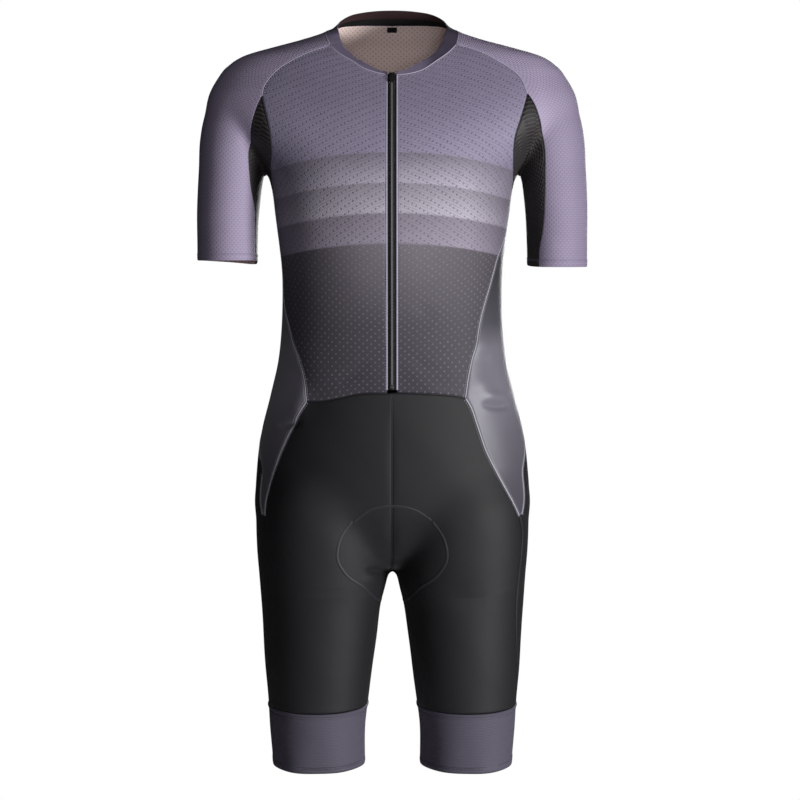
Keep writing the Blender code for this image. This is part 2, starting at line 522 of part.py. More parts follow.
# Collar and what is sewn inside it
def collar_grid(sides, rows):
    """The stand from the neck seam to the rim, as rows of points, and the direction of its wall at each point."""
    left, right = sides[1], sides[-1]
    base = join(left["collar_front"], left["collar_side"], left["collar_back"],
                right["collar_back"][::-1], right["collar_side"][::-1], right["collar_front"][::-1])
    rim_left = np.array(RIM) * MM
    whole = np.concatenate([rim_left, (rim_left * (-1, 1, 1))[::-1][1:]])
    rim = even(spline(whole, 400), 200)
    length = np.concatenate([[0], np.cumsum(np.linalg.norm(np.diff(base, axis=0), axis=1))])
    share = length / length[-1]
    at = np.linspace(0, 1, len(rim))
    rim = np.stack([np.interp(share, at, rim[:, k]) for k in range(3)], 1)
    v = np.linspace(0, 1, rows + 1)[:, None, None]
    grid = base[None] * (1 - v) + rim[None] * v
    along = np.gradient(grid, axis=1)
    up = np.broadcast_to(rim - base, grid.shape)
    own = np.cross(along, up)
    own /= np.linalg.norm(own, axis=2, keepdims=True)
    own *= np.sign((own[:, :, :1] * grid[:, :, :1]).sum())
    own = ease_round(own)
    blend = np.clip(v * 1.4, 0, 1)
    n = normals_at(base)[None] * (1 - blend) + own * blend
    return grid, n / np.linalg.norm(n, axis=2, keepdims=True)


def ease_round(values, rounds=3):
    """Each column's value averaged with the columns beside it."""
    for _ in range(rounds):
        middle = (values[:, :-2] + 2 * values[:, 1:-1] + values[:, 2:]) / 4
        values = np.concatenate([values[:, :1], middle, values[:, -1:]], 1)
    return values / np.linalg.norm(values, axis=2, keepdims=True)


def between(grid, low, high, rows):
    """The part of a grid between two shares of its height."""
    v = np.linspace(low, high, rows + 1) * (len(grid) - 1)
    i = np.minimum(v.astype(int), len(grid) - 2)
    t = (v - i)[:, None, None]
    return grid[i] * (1 - t) + grid[i + 1] * t


def build_collar(sides):
    grid, n = collar_grid(sides, 2)
    outer = grid + inward(grid, n)
    wall("collar", outer, outer - WALL * n, "collar_knit")
    count = grid.shape[1]
    keep = slice(CELLS["collar_front"] + 6, count - CELLS["collar_front"] - 6)
    strips = [("collar_facing", 0.42, 0.97, "facing_maroon", FACING_WALL),
              ("neck_tape", 0.06, 0.39, "tape_black", FACING_WALL)]
    for name, low, high, material, thick in strips:
        face = between(grid[:, keep] - (WALL + FACING_GAP) * n[:, keep], low, high, 1)
        m = between(n[:, keep], low, high, 1)
        wall(name, face, face - thick * m, material)


def build_label():
    x = np.linspace(-0.0075, 0.0055, 4)
    z = np.linspace(0.0260, 0.0180, 3)
    grid = np.stack(np.broadcast_arrays(x[None, :], 0.073, z[:, None]), 2)
    grid = settle(grid, WALL + 0.0006, 10)
    wall("neck_label", grid, grid - 0.0005 * normals_at(grid), "tape_black")


# Zip
def front_line(z):
    """Points of the form on its middle line at the heights z, on the front."""
    y = np.full(len(z), -0.1)
    for _ in range(30):
        p = np.stack([np.zeros(len(z)), y, z], 1)
        y = y + form(p) / np.maximum(np.abs(gradient(p)[:, 1]), 0.2)
    return np.stack([np.zeros(len(z)), y, z], 1)


def zip_strip(name, low, high, top, bottom, out, thick, rows, material):
    """A flat strip beside the zip's middle line, from x = low to x = high, out from the cloth by so much."""
    line = front_line(np.linspace(top, bottom, rows + 1))
    n = normals_at(line)
    n[:, 0] = 0
    n /= np.linalg.norm(n, axis=1, keepdims=True)
    face = line + out * n
    ends = [face + (x, 0, 0) for x in (low, high)]
    backs = [face - thick * n + (x, 0, 0) for x in (low, high)]
    wall(name, np.stack(ends, 1), np.stack(backs, 1), material)


def boxed(name, boxes, material, frame):
    """Boxes joined into one solid, each given by two corners in the slider's frame."""
    parts = []
    for low, high in boxes:
        bpy.ops.mesh.primitive_cube_add(size=1)
        cube = bpy.context.active_object
        low, high = np.array(low), np.array(high)
        points = np.array([v.co for v in cube.data.vertices]) * (high - low) + (high + low) / 2
        cube.data.vertices.foreach_set("co", points.ravel())
        parts.append(cube)
    first = parts[0]
    for other in parts[1:]:
        step = first.modifiers.new("join", "BOOLEAN")
        step.operation = "UNION"
        step.object = other
        bpy.context.view_layer.objects.active = first
        bpy.ops.object.modifier_apply(modifier=step.name)
        bpy.data.objects.remove(other)
    points = np.array([v.co for v in first.data.vertices])
    origin, across, down, out = frame
    placed = origin + points[:, :1] * across + points[:, 1:2] * down + points[:, 2:] * out
    faces = [list(f.vertices) for f in first.data.polygons]
    bpy.data.objects.remove(first)
    tidy_mesh(name, placed, faces, material)


def slider_frame():
    line = front_line(np.array([SLIDER_AT]))
    out = normals_at(line)[0]
    out[0] = 0
    out /= np.linalg.norm(out)
    across = np.array([1.0, 0, 0])
    down = np.cross(out, across)
    down *= -np.sign(down[2])
    return line[0], across, down, out


def build_zip():
    for side in (1, -1):
        low, high = sorted((side * TAPE_INNER, side * TAPE_OUTER))
        zip_strip(side_name("zip_tape", side), low, high, ZIP_TOP, ZIP_BOTTOM, -0.0004, 0.0008, 20, "tape_black")
    zip_strip("zip_coil", -CHAIN_HALF, CHAIN_HALF, CHAIN_TOP, ZIP_BOTTOM, 0.0002, 0.0020, 20, "coil_grey")
    frame = slider_frame()
    w, length, thick = PLATE[0] / 2, PLATE[1] / 2, PLATE[2]
    top = PLATE_OUT + thick
    pin = top + PIN_HEIGHT
    lug_w, lug_l = LUG[0] / 2, LUG[1] / 2
    boxes = [((-w, -length, PLATE_OUT), (w, length, top)),
             ((-w, -length, BOTTOM_PLATE_OUT), (w, length, BOTTOM_PLATE_OUT + thick)),
             ((-POST[0] / 2, -length, BOTTOM_PLATE_OUT + thick / 2), (POST[0] / 2, POST[1] - length, top - thick / 2)),
             ((-lug_w, -lug_l, top - thick / 2), (lug_w, LUG_BAR - lug_l, top + LUG[2])),
             ((-lug_w, lug_l - LUG_BAR, top - thick / 2), (lug_w, lug_l, top + LUG[2])),
             ((-lug_w, -lug_l, top + LUG[2] - LUG_BAR), (lug_w, lug_l, top + LUG[2]))]
    boxed("zip_slider", boxes, "metal_black", frame)
    half, reach, tall = TAB[0] / 2, TAB[1], TAB[2] / 2
    gap, window = TAB_WINDOW[0] / 2, TAB_WINDOW[1]
    boxes = [((-half, -PIN_RADIUS, pin - PIN_RADIUS), (half, PIN_RADIUS, pin + PIN_RADIUS)),
             ((-half, -PIN_RADIUS, pin - tall), (-gap, window + 0.0005, pin + tall)),
             ((gap, -PIN_RADIUS, pin - tall), (half, window + 0.0005, pin + tall)),
             ((-half, window, pin - tall), (half, reach, pin + tall))]
    boxed("zip_pull", boxes, "metal_black", frame)


def make_material(name, colour):
    material = bpy.data.materials.new(name)
    material.use_nodes = True
    shader = material.node_tree.nodes["Principled BSDF"]
    shader.inputs["Base Color"].default_value = (*colour, 1)
    shader.inputs["Roughness"].default_value = 0.6
    return material


for old in list(bpy.data.objects):
    bpy.data.objects.remove(old)
MATERIALS = {name: make_material(name, colour) for name, colour in COLOURS.items()}
SIDES = build_jersey()
build_shorts(SIDES)
build_pad()
build_collar(SIDES)
build_label()
build_zip()
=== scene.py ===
import bmesh
import bpy
import numpy as np
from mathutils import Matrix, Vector


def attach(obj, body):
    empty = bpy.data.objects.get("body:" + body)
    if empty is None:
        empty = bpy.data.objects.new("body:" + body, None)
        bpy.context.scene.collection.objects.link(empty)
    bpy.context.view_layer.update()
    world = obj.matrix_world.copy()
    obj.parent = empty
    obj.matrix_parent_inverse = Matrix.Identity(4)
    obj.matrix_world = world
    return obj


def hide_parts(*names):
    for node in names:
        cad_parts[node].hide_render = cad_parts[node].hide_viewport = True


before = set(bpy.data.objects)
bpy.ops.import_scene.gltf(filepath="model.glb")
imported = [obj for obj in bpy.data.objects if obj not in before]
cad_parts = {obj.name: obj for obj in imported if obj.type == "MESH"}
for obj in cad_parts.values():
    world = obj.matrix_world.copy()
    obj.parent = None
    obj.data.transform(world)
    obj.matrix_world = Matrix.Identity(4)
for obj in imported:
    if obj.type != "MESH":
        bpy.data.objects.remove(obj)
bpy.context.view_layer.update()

# Driving sizes, in metres
MM = 0.001  # the seam tables are in millimetres
MELT_ARM = 0.018  # how softly a sleeve runs into the body
MELT_LEG = 0.022  # how softly a leg runs into the hips
MELT_LEGS = 0.012  # how softly the two legs meet
ARM_END = -0.340  # the arms' form goes no lower than this, clear of the hips
CLOTH = 0.0011  # drawn thickness of the cloth
SEAM_GAP = 0.0001  # each panel stops this far short of its seam line
SEAM_SINK = 0.0005  # and dips this far along it
FINE = 8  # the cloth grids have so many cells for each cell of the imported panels
CHAIN_TOP = -0.0555
ZIP_TOP = -0.0500
ZIP_BOTTOM = -0.4400
PAD_DEPTH = 0.0071  # from the shorts' outer face to the pad
PAD_THICK = 0.0040
COLLAR_WALL = 0.0015
FACING_GAP = 0.0004
FACING_WALL = 0.0009
HEM_FOLD = 0.0090  # height of the bonded sleeve hem
HEM_THICK = 0.00035  # how far the hem stands out
HEM_SOFT = 0.0015  # width of the step at the hem's top
WAVE = 0.00022  # height of the slight unevenness all over the cloth
COIL_PITCH = 0.00128
BAND_HEIGHT = 80  # height of a leg band, in millimetres
FLOOR_Z = -1.45

# The body form by height: z, half width, front depth, back depth, squareness of the section
TORSO = np.array([
    (0.050, 0.0520, 0.020, 0.058, 2.5),
    (0.030, 0.0640, 0.026, 0.0675, 2.5),
    (0.020, 0.0730, 0.031, 0.0735, 2.4),
    (0.010, 0.0850, 0.036, 0.079, 2.25),
    (0.000, 0.1140, 0.043, 0.085, 2.05),
    (-0.010, 0.1530, 0.049, 0.089, 2.0),
    (-0.020, 0.1870, 0.054, 0.093, 2.05),
    (-0.035, 0.2110, 0.062, 0.098, 2.1),
    (-0.050, 0.2230, 0.070, 0.102, 2.15),
    (-0.070, 0.2320, 0.081, 0.106, 2.2),
    (-0.095, 0.2260, 0.094, 0.109, 2.2),
    (-0.120, 0.2040, 0.104, 0.111, 2.2),
    (-0.145, 0.1780, 0.111, 0.112, 2.2),
    (-0.168, 0.1610, 0.115, 0.112, 2.2),
    (-0.190, 0.1545, 0.117, 0.110, 2.2),
    (-0.222, 0.1500, 0.117, 0.106, 2.2),
    (-0.261, 0.1455, 0.114, 0.098, 2.2),
    (-0.300, 0.1420, 0.110, 0.090, 2.2),
    (-0.338, 0.1415, 0.107, 0.086, 2.2),
    (-0.377, 0.1440, 0.106, 0.087, 2.2),
    (-0.416, 0.1485, 0.106, 0.093, 2.2),
    (-0.455, 0.1580, 0.106, 0.102, 2.2),
    (-0.494, 0.1680, 0.105, 0.111, 2.2),
    (-0.533, 0.1745, 0.102, 0.117, 2.2),
    (-0.573, 0.1760, 0.097, 0.116, 2.2),
    (-0.612, 0.1680, 0.088, 0.106, 2.2),
    (-0.640, 0.1400, 0.072, 0.088, 2.1),
    (-0.661, 0.0950, 0.052, 0.064, 2.0),
    (-0.676, 0.0400, 0.030, 0.036, 2.0),
    (-0.682, 0.0100, 0.010, 0.010, 2.0),
])
# Each arm: z, middle x, half width, front depth, back depth, squareness
ARM = np.array([
    (-0.045, 0.1950, 0.0100, 0.004, 0.012, 2.0),
    (-0.070, 0.1960, 0.0340, 0.034, 0.052, 2.0),
    (-0.100, 0.1985, 0.0425, 0.046, 0.064, 2.0),
    (-0.127, 0.2020, 0.0440, 0.050, 0.067, 2.0),
    (-0.165, 0.2063, 0.0418, 0.051, 0.067, 2.0),
    (-0.190, 0.2088, 0.0408, 0.051, 0.065, 2.0),
    (-0.222, 0.2113, 0.0397, 0.050, 0.063, 2.0),
    (-0.261, 0.2121, 0.0386, 0.049, 0.060, 2.0),
    (-0.290, 0.2123, 0.0383, 0.048, 0.059, 2.0),
    (-0.320, 0.2123, 0.0383, 0.048, 0.059, 2.0),
])
# Each leg: z, middle x, half width, front depth, back depth, squareness
LEG = np.array([
    (-0.500, 0.0880, 0.0200, 0.020, 0.030, 2.0),
    (-0.540, 0.0900, 0.0620, 0.074, 0.098, 2.1),
    (-0.580, 0.0915, 0.0820, 0.091, 0.120, 2.2),
    (-0.612, 0.0920, 0.0850, 0.095, 0.123, 2.2),
    (-0.652, 0.0915, 0.0850, 0.093, 0.116, 2.2),
    (-0.690, 0.0900, 0.0835, 0.089, 0.104, 2.15),
    (-0.731, 0.0932, 0.0777, 0.085, 0.095, 2.1),
    (-0.771, 0.0947, 0.0740, 0.081, 0.088, 2.1),
    (-0.811, 0.0962, 0.0702, 0.077, 0.083, 2.1),
    (-0.851, 0.0973, 0.0660, 0.072, 0.078, 2.1),
    (-0.892, 0.0983, 0.0625, 0.068, 0.073, 2.1),
    (-0.932, 0.0974, 0.0604, 0.065, 0.069, 2.1),
    (-0.970, 0.0970, 0.0600, 0.063, 0.067, 2.1),
])

# Seam lines as x, y, z in millimetres. L is the wearer's left (+X) and R the wearer's right (-X).
# A line with one list is the same on both sides, given for +X.
SEAMS = {
    "zip_edge": [(6, -70.5, -51), (6, -92, -95), (6, -110, -150), (6, -117, -210), (6, -114, -260),
                 (6, -109, -310),
                 (6, -106, -380), (6, -106, -443.5)],
    "collar_front_L": [(6, -70.5, -51), (20, -69, -49.5), (37, -66, -44.5), (55, -59, -32.5),
                       (72, -50, -19.5), (81, -41, -10)],
    "collar_front_R": [(-6, -70.5, -51), (-20, -68.5, -47.5), (-33, -65.5, -43), (-51, -58.5, -31.5),
                       (-68, -51, -21), (-78, -43, -11.5)],
    "collar_side_L": [(81, -41, -10), (84, -18, 5.5), (80, 3, 11), (68, 30, 18.5)],
    "collar_side_R": [(-78, -43, -11.5), (-84, -18, 5.5), (-80, 3, 11), (-68, 30, 18.5)],
    "collar_back": [(68, 30, 18.5), (50, 54, 24), (28, 66, 26), (0, 70, 26.5)],
    "raglan_front_L": [(81, -41, -10), (99, -42, -15), (115, -44, -21.5), (131, -46.5, -30.5),
                       (146, -48.5, -39.5), (160, -52, -51), (169, -60, -73.5)],
    "raglan_front_R": [(-78, -43, -11.5), (-93, -44.5, -16.5), (-109.5, -46, -23), (-127.5, -48.5, -32),
                       (-142.5, -51, -42), (-152, -54.5, -52), (-159.5, -58.5, -64), (-162, -64, -77)],
    "raglan_back": [(68, 30, 18.5), (90, 40, 3), (115, 58, -10), (140, 72, -32), (158, 76, -62),
                    (165, 79, -90)],
    "gusset_chest_L": [(169, -60, -73.5), (159, -71, -106), (153, -72, -127), (152, -65, -143),
                       (152.5, -52, -158), (154.5, -32, -174), (155, -14, -192)],
    "gusset_chest_R": [(-162, -64, -77), (-157, -72, -98), (-152.7, -74, -114), (-151.4, -73, -126),
                       (-151, -63.5, -146), (-154, -40.5, -167), (-155, -14, -192)],
    "gusset_back": [(165, 79, -90), (158, 78, -118), (154, 68, -143), (155, 42, -166), (155, 14, -192)],
    "gusset_arm_L": [(169, -60, -73.5), (175.5, -61, -82.5), (182.5, -60, -98.5), (188, -53, -118),
                     (191.5, -48.5, -142), (192, -47.5, -172), (192, -45.5, -202), (190, -40.5, -243),
                     (186, -35, -271), (186, -35, -289)],
    "gusset_arm_R": [(-162, -64, -77), (-171.5, -65.5, -101), (-178, -50, -132), (-180.5, -41, -157),
                     (-178, -33.5, -191), (-174.5, -19, -220), (-175, -13, -255), (-175, -11, -281.5)],
    "gusset_arm_back": [(165, 79, -90), (176, 76, -112), (184, 62, -142), (186, 50, -180), (182, 40, -220),
                        (178, 30, -255), (177, 25, -286)],
    "armpit_front_arm": [(180, -26, -288), (182, -36, -230), (180, -40, -185), (172, -47, -150),
                         (163, -58, -135)],
    "armpit_front_body": [(163, -58, -135), (156, -48, -157), (154.5, -25, -179), (155.5, -7, -192)],
    "armpit_back_arm": [(176, 16, -286), (177, 30, -230), (176, 40, -185), (168, 52, -150), (161, 62, -138)],
    "armpit_back_body": [(161, 62, -138), (156, 46, -160), (155, 26, -179), (155.5, 7, -192)],
    "armpit_arm": [(174, 0, -286), (171, 0, -222), (167, 0, -185), (162, 0, -167)],
    "armpit_body": [(162, 0, -167), (158, 0, -176), (156, 0, -192)],
    "side_top": [(155, -14, -192), (156, 0, -192), (155, 14, -192)],
    "side_front_L": [(155, -14, -192), (151, -20, -222), (146, -27, -250), (134, -46, -275), (126, -55, -300),
                     (114, -68, -341), (105, -77, -382), (94, -87, -432), (91.7, -90, -451.5)],
    "side_front_R": [(-155, -14, -192), (-151, -18, -222), (-147, -20, -255), (-143, -20, -300),
                     (-140, -27, -331), (-129, -50.5, -368), (-118.5, -67.5, -401), (-109, -79, -435),
                     (-106, -83, -456)],
    "hip_front_L": [(91.7, -90, -451.5), (97, -88, -460), (108, -84.5, -489.5), (118, -80, -518),
                    (130, -73, -543), (145, -70, -570), (155, -65, -590), (162, -58, -605)],
    "hip_front_R": [(-106, -83, -456), (-118, -78, -475), (-126, -74, -490.5), (-136.5, -68, -511.5),
                    (-144.5, -62, -531), (-151.5, -57.5, -550), (-159, -56.5, -578), (-162, -58, -605)],
    "side_back": [(155, 14, -192), (142, 35, -240), (120, 52, -300), (114, 55, -350), (125, 52, -400),
                  (142, 44, -440)],
    "hip_back": [(142, 44, -440), (155, 37, -460), (164, 25, -482), (171, 3, -506), (170, -22, -527),
                 (167, -36, -548), (169, -40, -576), (166, -52, -604)],
    "outseam": [(162, -58, -605), (166, -51.5, -626), (165, -51, -657), (161, -49, -693), (158, -48, -716),
                (157, -40, -765), (159, -26, -815), (160, -16, -859)],
    "waist_front_L": [(6, -106, -443), (56, -100.5, -446), (78.5, -94.5, -448.5), (91.7, -90, -451.5)],
    "waist_front_R": [(-6, -106, -444), (-40, -103.5, -445), (-67, -98, -451), (-86, -92.5, -455),
                      (-106, -83, -456)],
    "waist_back": [(142, 44, -440), (100, 75, -434), (50, 92, -430), (0, 96, -429)],
    "centre_front": [(0, -106, -443.5), (0, -105, -490), (0, -101, -535), (0, -94, -582), (0, -80, -632),
                     (0, -55, -668), (0, 0, -690)],
    "centre_back": [(0, 96, -429), (0, 111, -490), (0, 117, -540), (0, 112, -590), (0, 98, -632),
                    (0, 65, -668), (0, 0, -690)],
    "inseam": [(0, 0, -690), (8, 0, -700), (16.5, 0, -731), (22, 0, -771), (27, 0, -811), (32, 0, -859)],
    "band_top_front": [(32, 0, -859), (52, -50, -859), (98, -71, -859), (140, -54, -859), (160, -16, -859)],
    "band_top_back": [(160, -16, -859), (158, 28, -859), (98, 77, -859), (46, 50, -859), (32, 0, -859)],
    "band_inseam": [(32, 0, -859), (36, 0, -900), (37, 0, -939)],
    "band_outer": [(160, -16, -859), (159, -15, -900), (156, -14, -939)],
    "band_hem_front": [(37, 0, -939), (55, -46, -939), (97, -64.5, -939), (139, -46, -939), (156, -14, -939)],
    "band_hem_back": [(156, -14, -939), (152, 30, -939), (97, 68.5, -939), (50, 42, -939), (37, 0, -939)],
    "sleeve_hem_L": [(186, -35, -289), (212, -48, -289), (240, -33, -289), (250.5, 0, -289), (240, 42, -288),
                     (212, 59, -287), (188, 45, -286), (177, 25, -286)],
    "sleeve_hem_R": [(-175, -11, -281.5), (-182, -32, -281), (-212, -48, -281), (-240, -33, -281),
                     (-250.5, 0, -281), (-240, 42, -282), (-212, 59, -284), (-188, 45, -286),
                     (-177, 25, -286)],
    "gusset_hem_L": [(186, -35, -289), (176, -14, -288), (174, 2, -287), (177, 25, -286)],
    "gusset_hem_R": [(-175, -11, -281.5), (-174, 4, -283), (-177, 25, -286)],
    "shoulder": [(83, -5, 9.5), (120, 5, 0), (165, 8, -12), (210, 8, -36), (235, 8, -70), (243, 8, -120),
                 (250, 8, -200), (250, 5, -287)],
    "sleeve_front": [(83, -26, 1), (130, -30, -12), (180, -35, -40), (212, -42, -85), (222, -46, -150),
                     (225, -46, -287)],
    "sleeve_back": [(76, 16, 14), (130, 50, -8), (180, 60, -38), (215, 60, -85), (222, 62, -150),
                    (225, 56, -286)],
    "back_middle": [(0, 70, 26.5), (0, 93, -20), (0, 109, -95), (0, 112, -165), (0, 106, -222), (0, 90, -300),
                    (0, 86, -370), (0, 96, -429)],
    "thigh_front": [(50, -101, -446), (85, -100, -520), (95, -95, -600), (92, -89, -690), (95, -80, -780),
                    (98, -71, -859)],
    "thigh_back": [(72, 87, -431), (85, 112, -520), (92, 123, -600), (91, 104, -690), (95, 86, -780),
                   (98, 77, -859)],
    "pad_front": [(-50, -89, -609), (-28, -92, -592), (0, -94, -587), (28, -92, -592), (50, -89, -606)],
    "pad_edge": [(50, -89, -606), (66, -91, -632), (69, -89, -655), (58, -83, -676), (38, -70, -693),
                 (23, -45, -712), (18, 0, -722), (26, 45, -712), (46, 85, -690), (64, 110, -655),
                 (60, 118, -620)],
    "pad_middle": [(0, -94, -587), (0, -80, -632), (0, -55, -668), (0, 0, -690), (0, 65, -668),
                   (0, 98, -632), (0, 112, -600)],
    "pad_back": [(-60, 118, -620), (-30, 118, -604), (0, 112, -600), (30, 118, -604), (60, 118, -620)],
}
# The collar's top edge as x, y, z in millimetres, from the zip round to the middle of the back
RIM = [(6, -68.5, -46.5), (16, -66.5, -44.5), (30, -60.5, -36.5), (46, -51, -27), (61, -36, -10.5),
       (67.5, -14, 8.5), (70, 15, 19.5), (66, 40, 29.5), (52, 57, 38.5), (27, 65, 44), (0, 66.5, 45.5)]

# Cells along each seam line; lines that lie side by side get the same number
CELLS = {"collar_front": 7, "collar_side": 14, "collar_back": 9, "raglan": 7, "gusset_body": 5,
         "gusset_arm": 9,
         "side": 11, "hip": 8, "across_side": 6, "thigh": 11, "centre_front": 12, "centre_back": 13,
         "inseam": 7,
         "band_back": 9, "band_front": 8, "band_down": 3, "pad_across": 10, "pad_down": 16}
RELAX_ROUNDS = 200

# Creases and bulges: which face (-1 front, 1 back), x and z of both ends, how far the middle hangs, width and
# height, in millimetres. A trough has a negative height, and a bulge has both ends in one place.
FOLDS = np.array([
    (-1, 113, -385, 108, -392, 0, 13, 2.6),
    (-1, 112, -438, 118, -448, 0, 16, 4.2),
    (-1, 112, -459, 149, -465, 2, 3.4, -5.0),
    (-1, 116, -448, 147, -453, 2, 6.5, 3.0),
    (-1, 96, -400, 126, -412, -4, 9, -1.4),
    (-1, -113, -452, -118, -462, 0, 15, 3.0),
    (-1, -114, -482, -146, -488, 3, 3.4, -3.6),
    (-1, -112, -420, -140, -408, 5, 8, -1.6),
    (-1, -118, -385, -140, -372, 4, 9, 1.2),
    (-1, 28, -332, 56, -350, 3, 7, -1.0),
    (-1, 24, -398, 74, -424, 6, 9, -1.5),
    (-1, 20, -416, 60, -440, 4, 8, 0.9),
    (-1, -26, -402, -70, -428, 6, 9, -0.9),
    (-1, -34, -675, -10, -684, -4, 3.6, -3.0),
    (-1, -40, -682, -14, -700, -5, 8, 1.8),
    (-1, 10, -668, 34, -684, -4, 6, -1.2),
    (-1, 0, -470, 0, -600, 0, 5, -0.9),
    (-1, 0, -600, 0, -668, 0, 6, -2.2),
    (-1, 148, -162, 128, -176, 5, 8, -1.2),
    (-1, 150, -188, 120, -205, 5, 10, -1.0),
    (-1, -150, -158, -128, -172, 5, 8, -1.2),
    (-1, -150, -185, -118, -200, 5, 10, -1.0),
    (-1, 172, -120, 190, -150, 4, 8, -1.0),
    (-1, -172, -112, -190, -142, 4, 8, -1.0),
    (-1, 60, -690, 120, -704, 6, 14, -0.8),
    (-1, -60, -700, -122, -712, 6, 14, -0.8),
    (-1, 205, -255, 240, -262, 5, 9, -0.7),
    (-1, -208, -248, -242, -240, -5, 9, -0.7),
    (1, -90, -318, 70, -330, 10, 12, -1.5),
    (1, -60, -352, 96, -344, 8, 10, -1.3),
    (1, 20, -372, 110, -384, 6, 11, 1.1),
    (1, -104, -380, -20, -396, 8, 10, -1.2),
    (1, 132, -178, 90, -212, 8, 10, -1.3),
    (1, -132, -172, -88, -204, 8, 10, -1.3),
    (1, 96, -60, 60, -120, 6, 14, -0.9),
    (1, -96, -58, -62, -116, 6, 14, -0.9),
    (1, 0, -470, 0, -640, 0, 7, -2.0),
    (1, 36, -640, 104, -626, -10, 10, -1.5),
    (1, -36, -638, -100, -622, -10, 10, -1.4),
    (1, 58, -662, 112, -654, -8, 8, 1.0),
    (1, -56, -664, -108, -652, -8, 8, 1.0),
    (1, 60, -742, 128, -752, 6, 10, -1.0),
    (1, -58, -748, -126, -738, 6, 10, -1.0),
    (1, 196, -110, 226, -122, 5, 8, -0.9),
    (1, -194, -104, -224, -118, 5, 8, -0.9),
])


# The body form
def hermite(values, at, i, t, h):
    """Cubics between rows i and i + 1 of an array, whose slopes come from the rows beside them."""
    slopes = np.gradient(values, at, axis=0)
    lower = (2 * t**3 - 3 * t**2 + 1) * values[i] + (t**3 - 2 * t**2 + t) * h * slopes[i]
    return lower + (3 * t**2 - 2 * t**3) * values[i + 1] + (t**3 - t**2) * h * slopes[i + 1]


def column(z, rows):
    """Values of a table at the heights z: cubics through the rows whose slopes come from the rows beside
    them."""
    zs, values = rows[::-1, 0], rows[::-1, 1:]
    z = np.clip(z, zs[0], zs[-1])
    i = np.clip(np.searchsorted(zs, z) - 1, 0, len(zs) - 2)
    h = (zs[i + 1] - zs[i])[:, None]
    return hermite(values, zs, i, ((z - zs[i]) / h[:, 0])[:, None], h)


def section(x, y, half, front, back, square):
    """Distance out of a section along the line from its middle: r * (1 - 1/s), s = (|x/a|^n +
    |y/b|^n)^(1/n)."""
    depth = np.where(y < 0, front, back)
    s = (np.abs(x / half) ** square + np.abs(y / depth) ** square) ** (1 / square)
    return np.hypot(x, y) * (1 - 1 / np.maximum(s, 1e-3))


def melt(a, b, k):
    """The smaller of two distances, rounded where they are within k: min(a, b) - h^3 k / 6, h = 1 - |a - b|
    / k."""
    h = np.maximum(k - np.abs(a - b), 0) / k
    return np.minimum(a, b) - h**3 * k / 6


def form(p):
    """Signed distance to the filled garment, negative inside: body, two arms and two legs melted together."""
    x, y, z = p[:, 0], p[:, 1], p[:, 2]
    half, front, back, square = column(z, TORSO).T
    body = np.maximum(section(x, y, half, front, back, square), TORSO[-1, 0] - z)
    middle, half, front, back, square = column(z, ARM).T
    arms = section(np.abs(x) - middle, y, half, front, back, square)
    arms = np.maximum(np.maximum(arms, z - ARM[0, 0]), ARM_END - z)
    middle, half, front, back, square = column(z, LEG).T
    legs = [section(x - s * middle, y, half, front, back, square) for s in (1, -1)]
    legs = [np.maximum(leg, z - LEG[0, 0]) for leg in legs]
    return melt(melt(body, arms, MELT_ARM), melt(legs[0], legs[1], MELT_LEGS), MELT_LEG)


def gradient(p, step=2e-4):
    """Central differences of the form at the points p."""
    moves = step * np.eye(3)
    return np.stack([(form(p + m) - form(p - m)) / (2 * step) for m in moves], 1)


def settle(p, depth=0.0, rounds=12):
    """Moves points along the form's gradient until the form is -depth there."""
    p = np.array(p, float)
    flat = p.reshape(-1, 3)
    for _ in range(rounds):
        g = gradient(flat)
        step = (form(flat) + depth) / np.maximum((g**2).sum(1), 0.05)
        flat = flat - np.clip(step, -0.02, 0.02)[:, None] * g
    return flat.reshape(p.shape)


def normals_at(p):
    g = gradient(p.reshape(-1, 3))
    return (g / np.linalg.norm(g, axis=1, keepdims=True)).reshape(p.shape)


# Seam lines
def run(path):
    """Length along a path up to each of its points."""
    return np.concatenate([[0], np.cumsum(np.linalg.norm(np.diff(path, axis=0), axis=1))])


def spline(points, count):
    """Points along a curve of cubics through the given points, spaced by chord length."""
    points = np.asarray(points, float)
    chord = run(points)
    s = np.linspace(0, chord[-1], count)
    i = np.clip(np.searchsorted(chord, s) - 1, 0, len(chord) - 2)
    h = (chord[i + 1] - chord[i])[:, None]
    return hermite(points, chord, i, (s - chord[i])[:, None] / h, h)


def even(line, cells):
    """The line cut into so many cells of equal length."""
    length = run(line)
    s = np.linspace(0, length[-1], cells + 1)
    return np.stack([np.interp(s, length, line[:, k]) for k in range(3)], 1)


def seam(name, side, cells, depth=0.0):
    """A seam line of one side (1 for the wearer's left, -1 for the right) laid on the form and cut evenly."""
    own = name + ("_L" if side > 0 else "_R")
    points = np.array(SEAMS[own] if own in SEAMS else SEAMS[name], float) * MM
    if own not in SEAMS:
        points[:, 0] *= side
    points = settle(points, depth)
    line = settle(spline(points, 40 * len(points)), depth, 4)
    line[0], line[-1] = points[0], points[-1]
    return settle(even(line, cells), depth, 4)


def join(*lines):
    """Lines end to end, each shared point once."""
    return np.concatenate([lines[0]] + [line[1:] for line in lines[1:]])


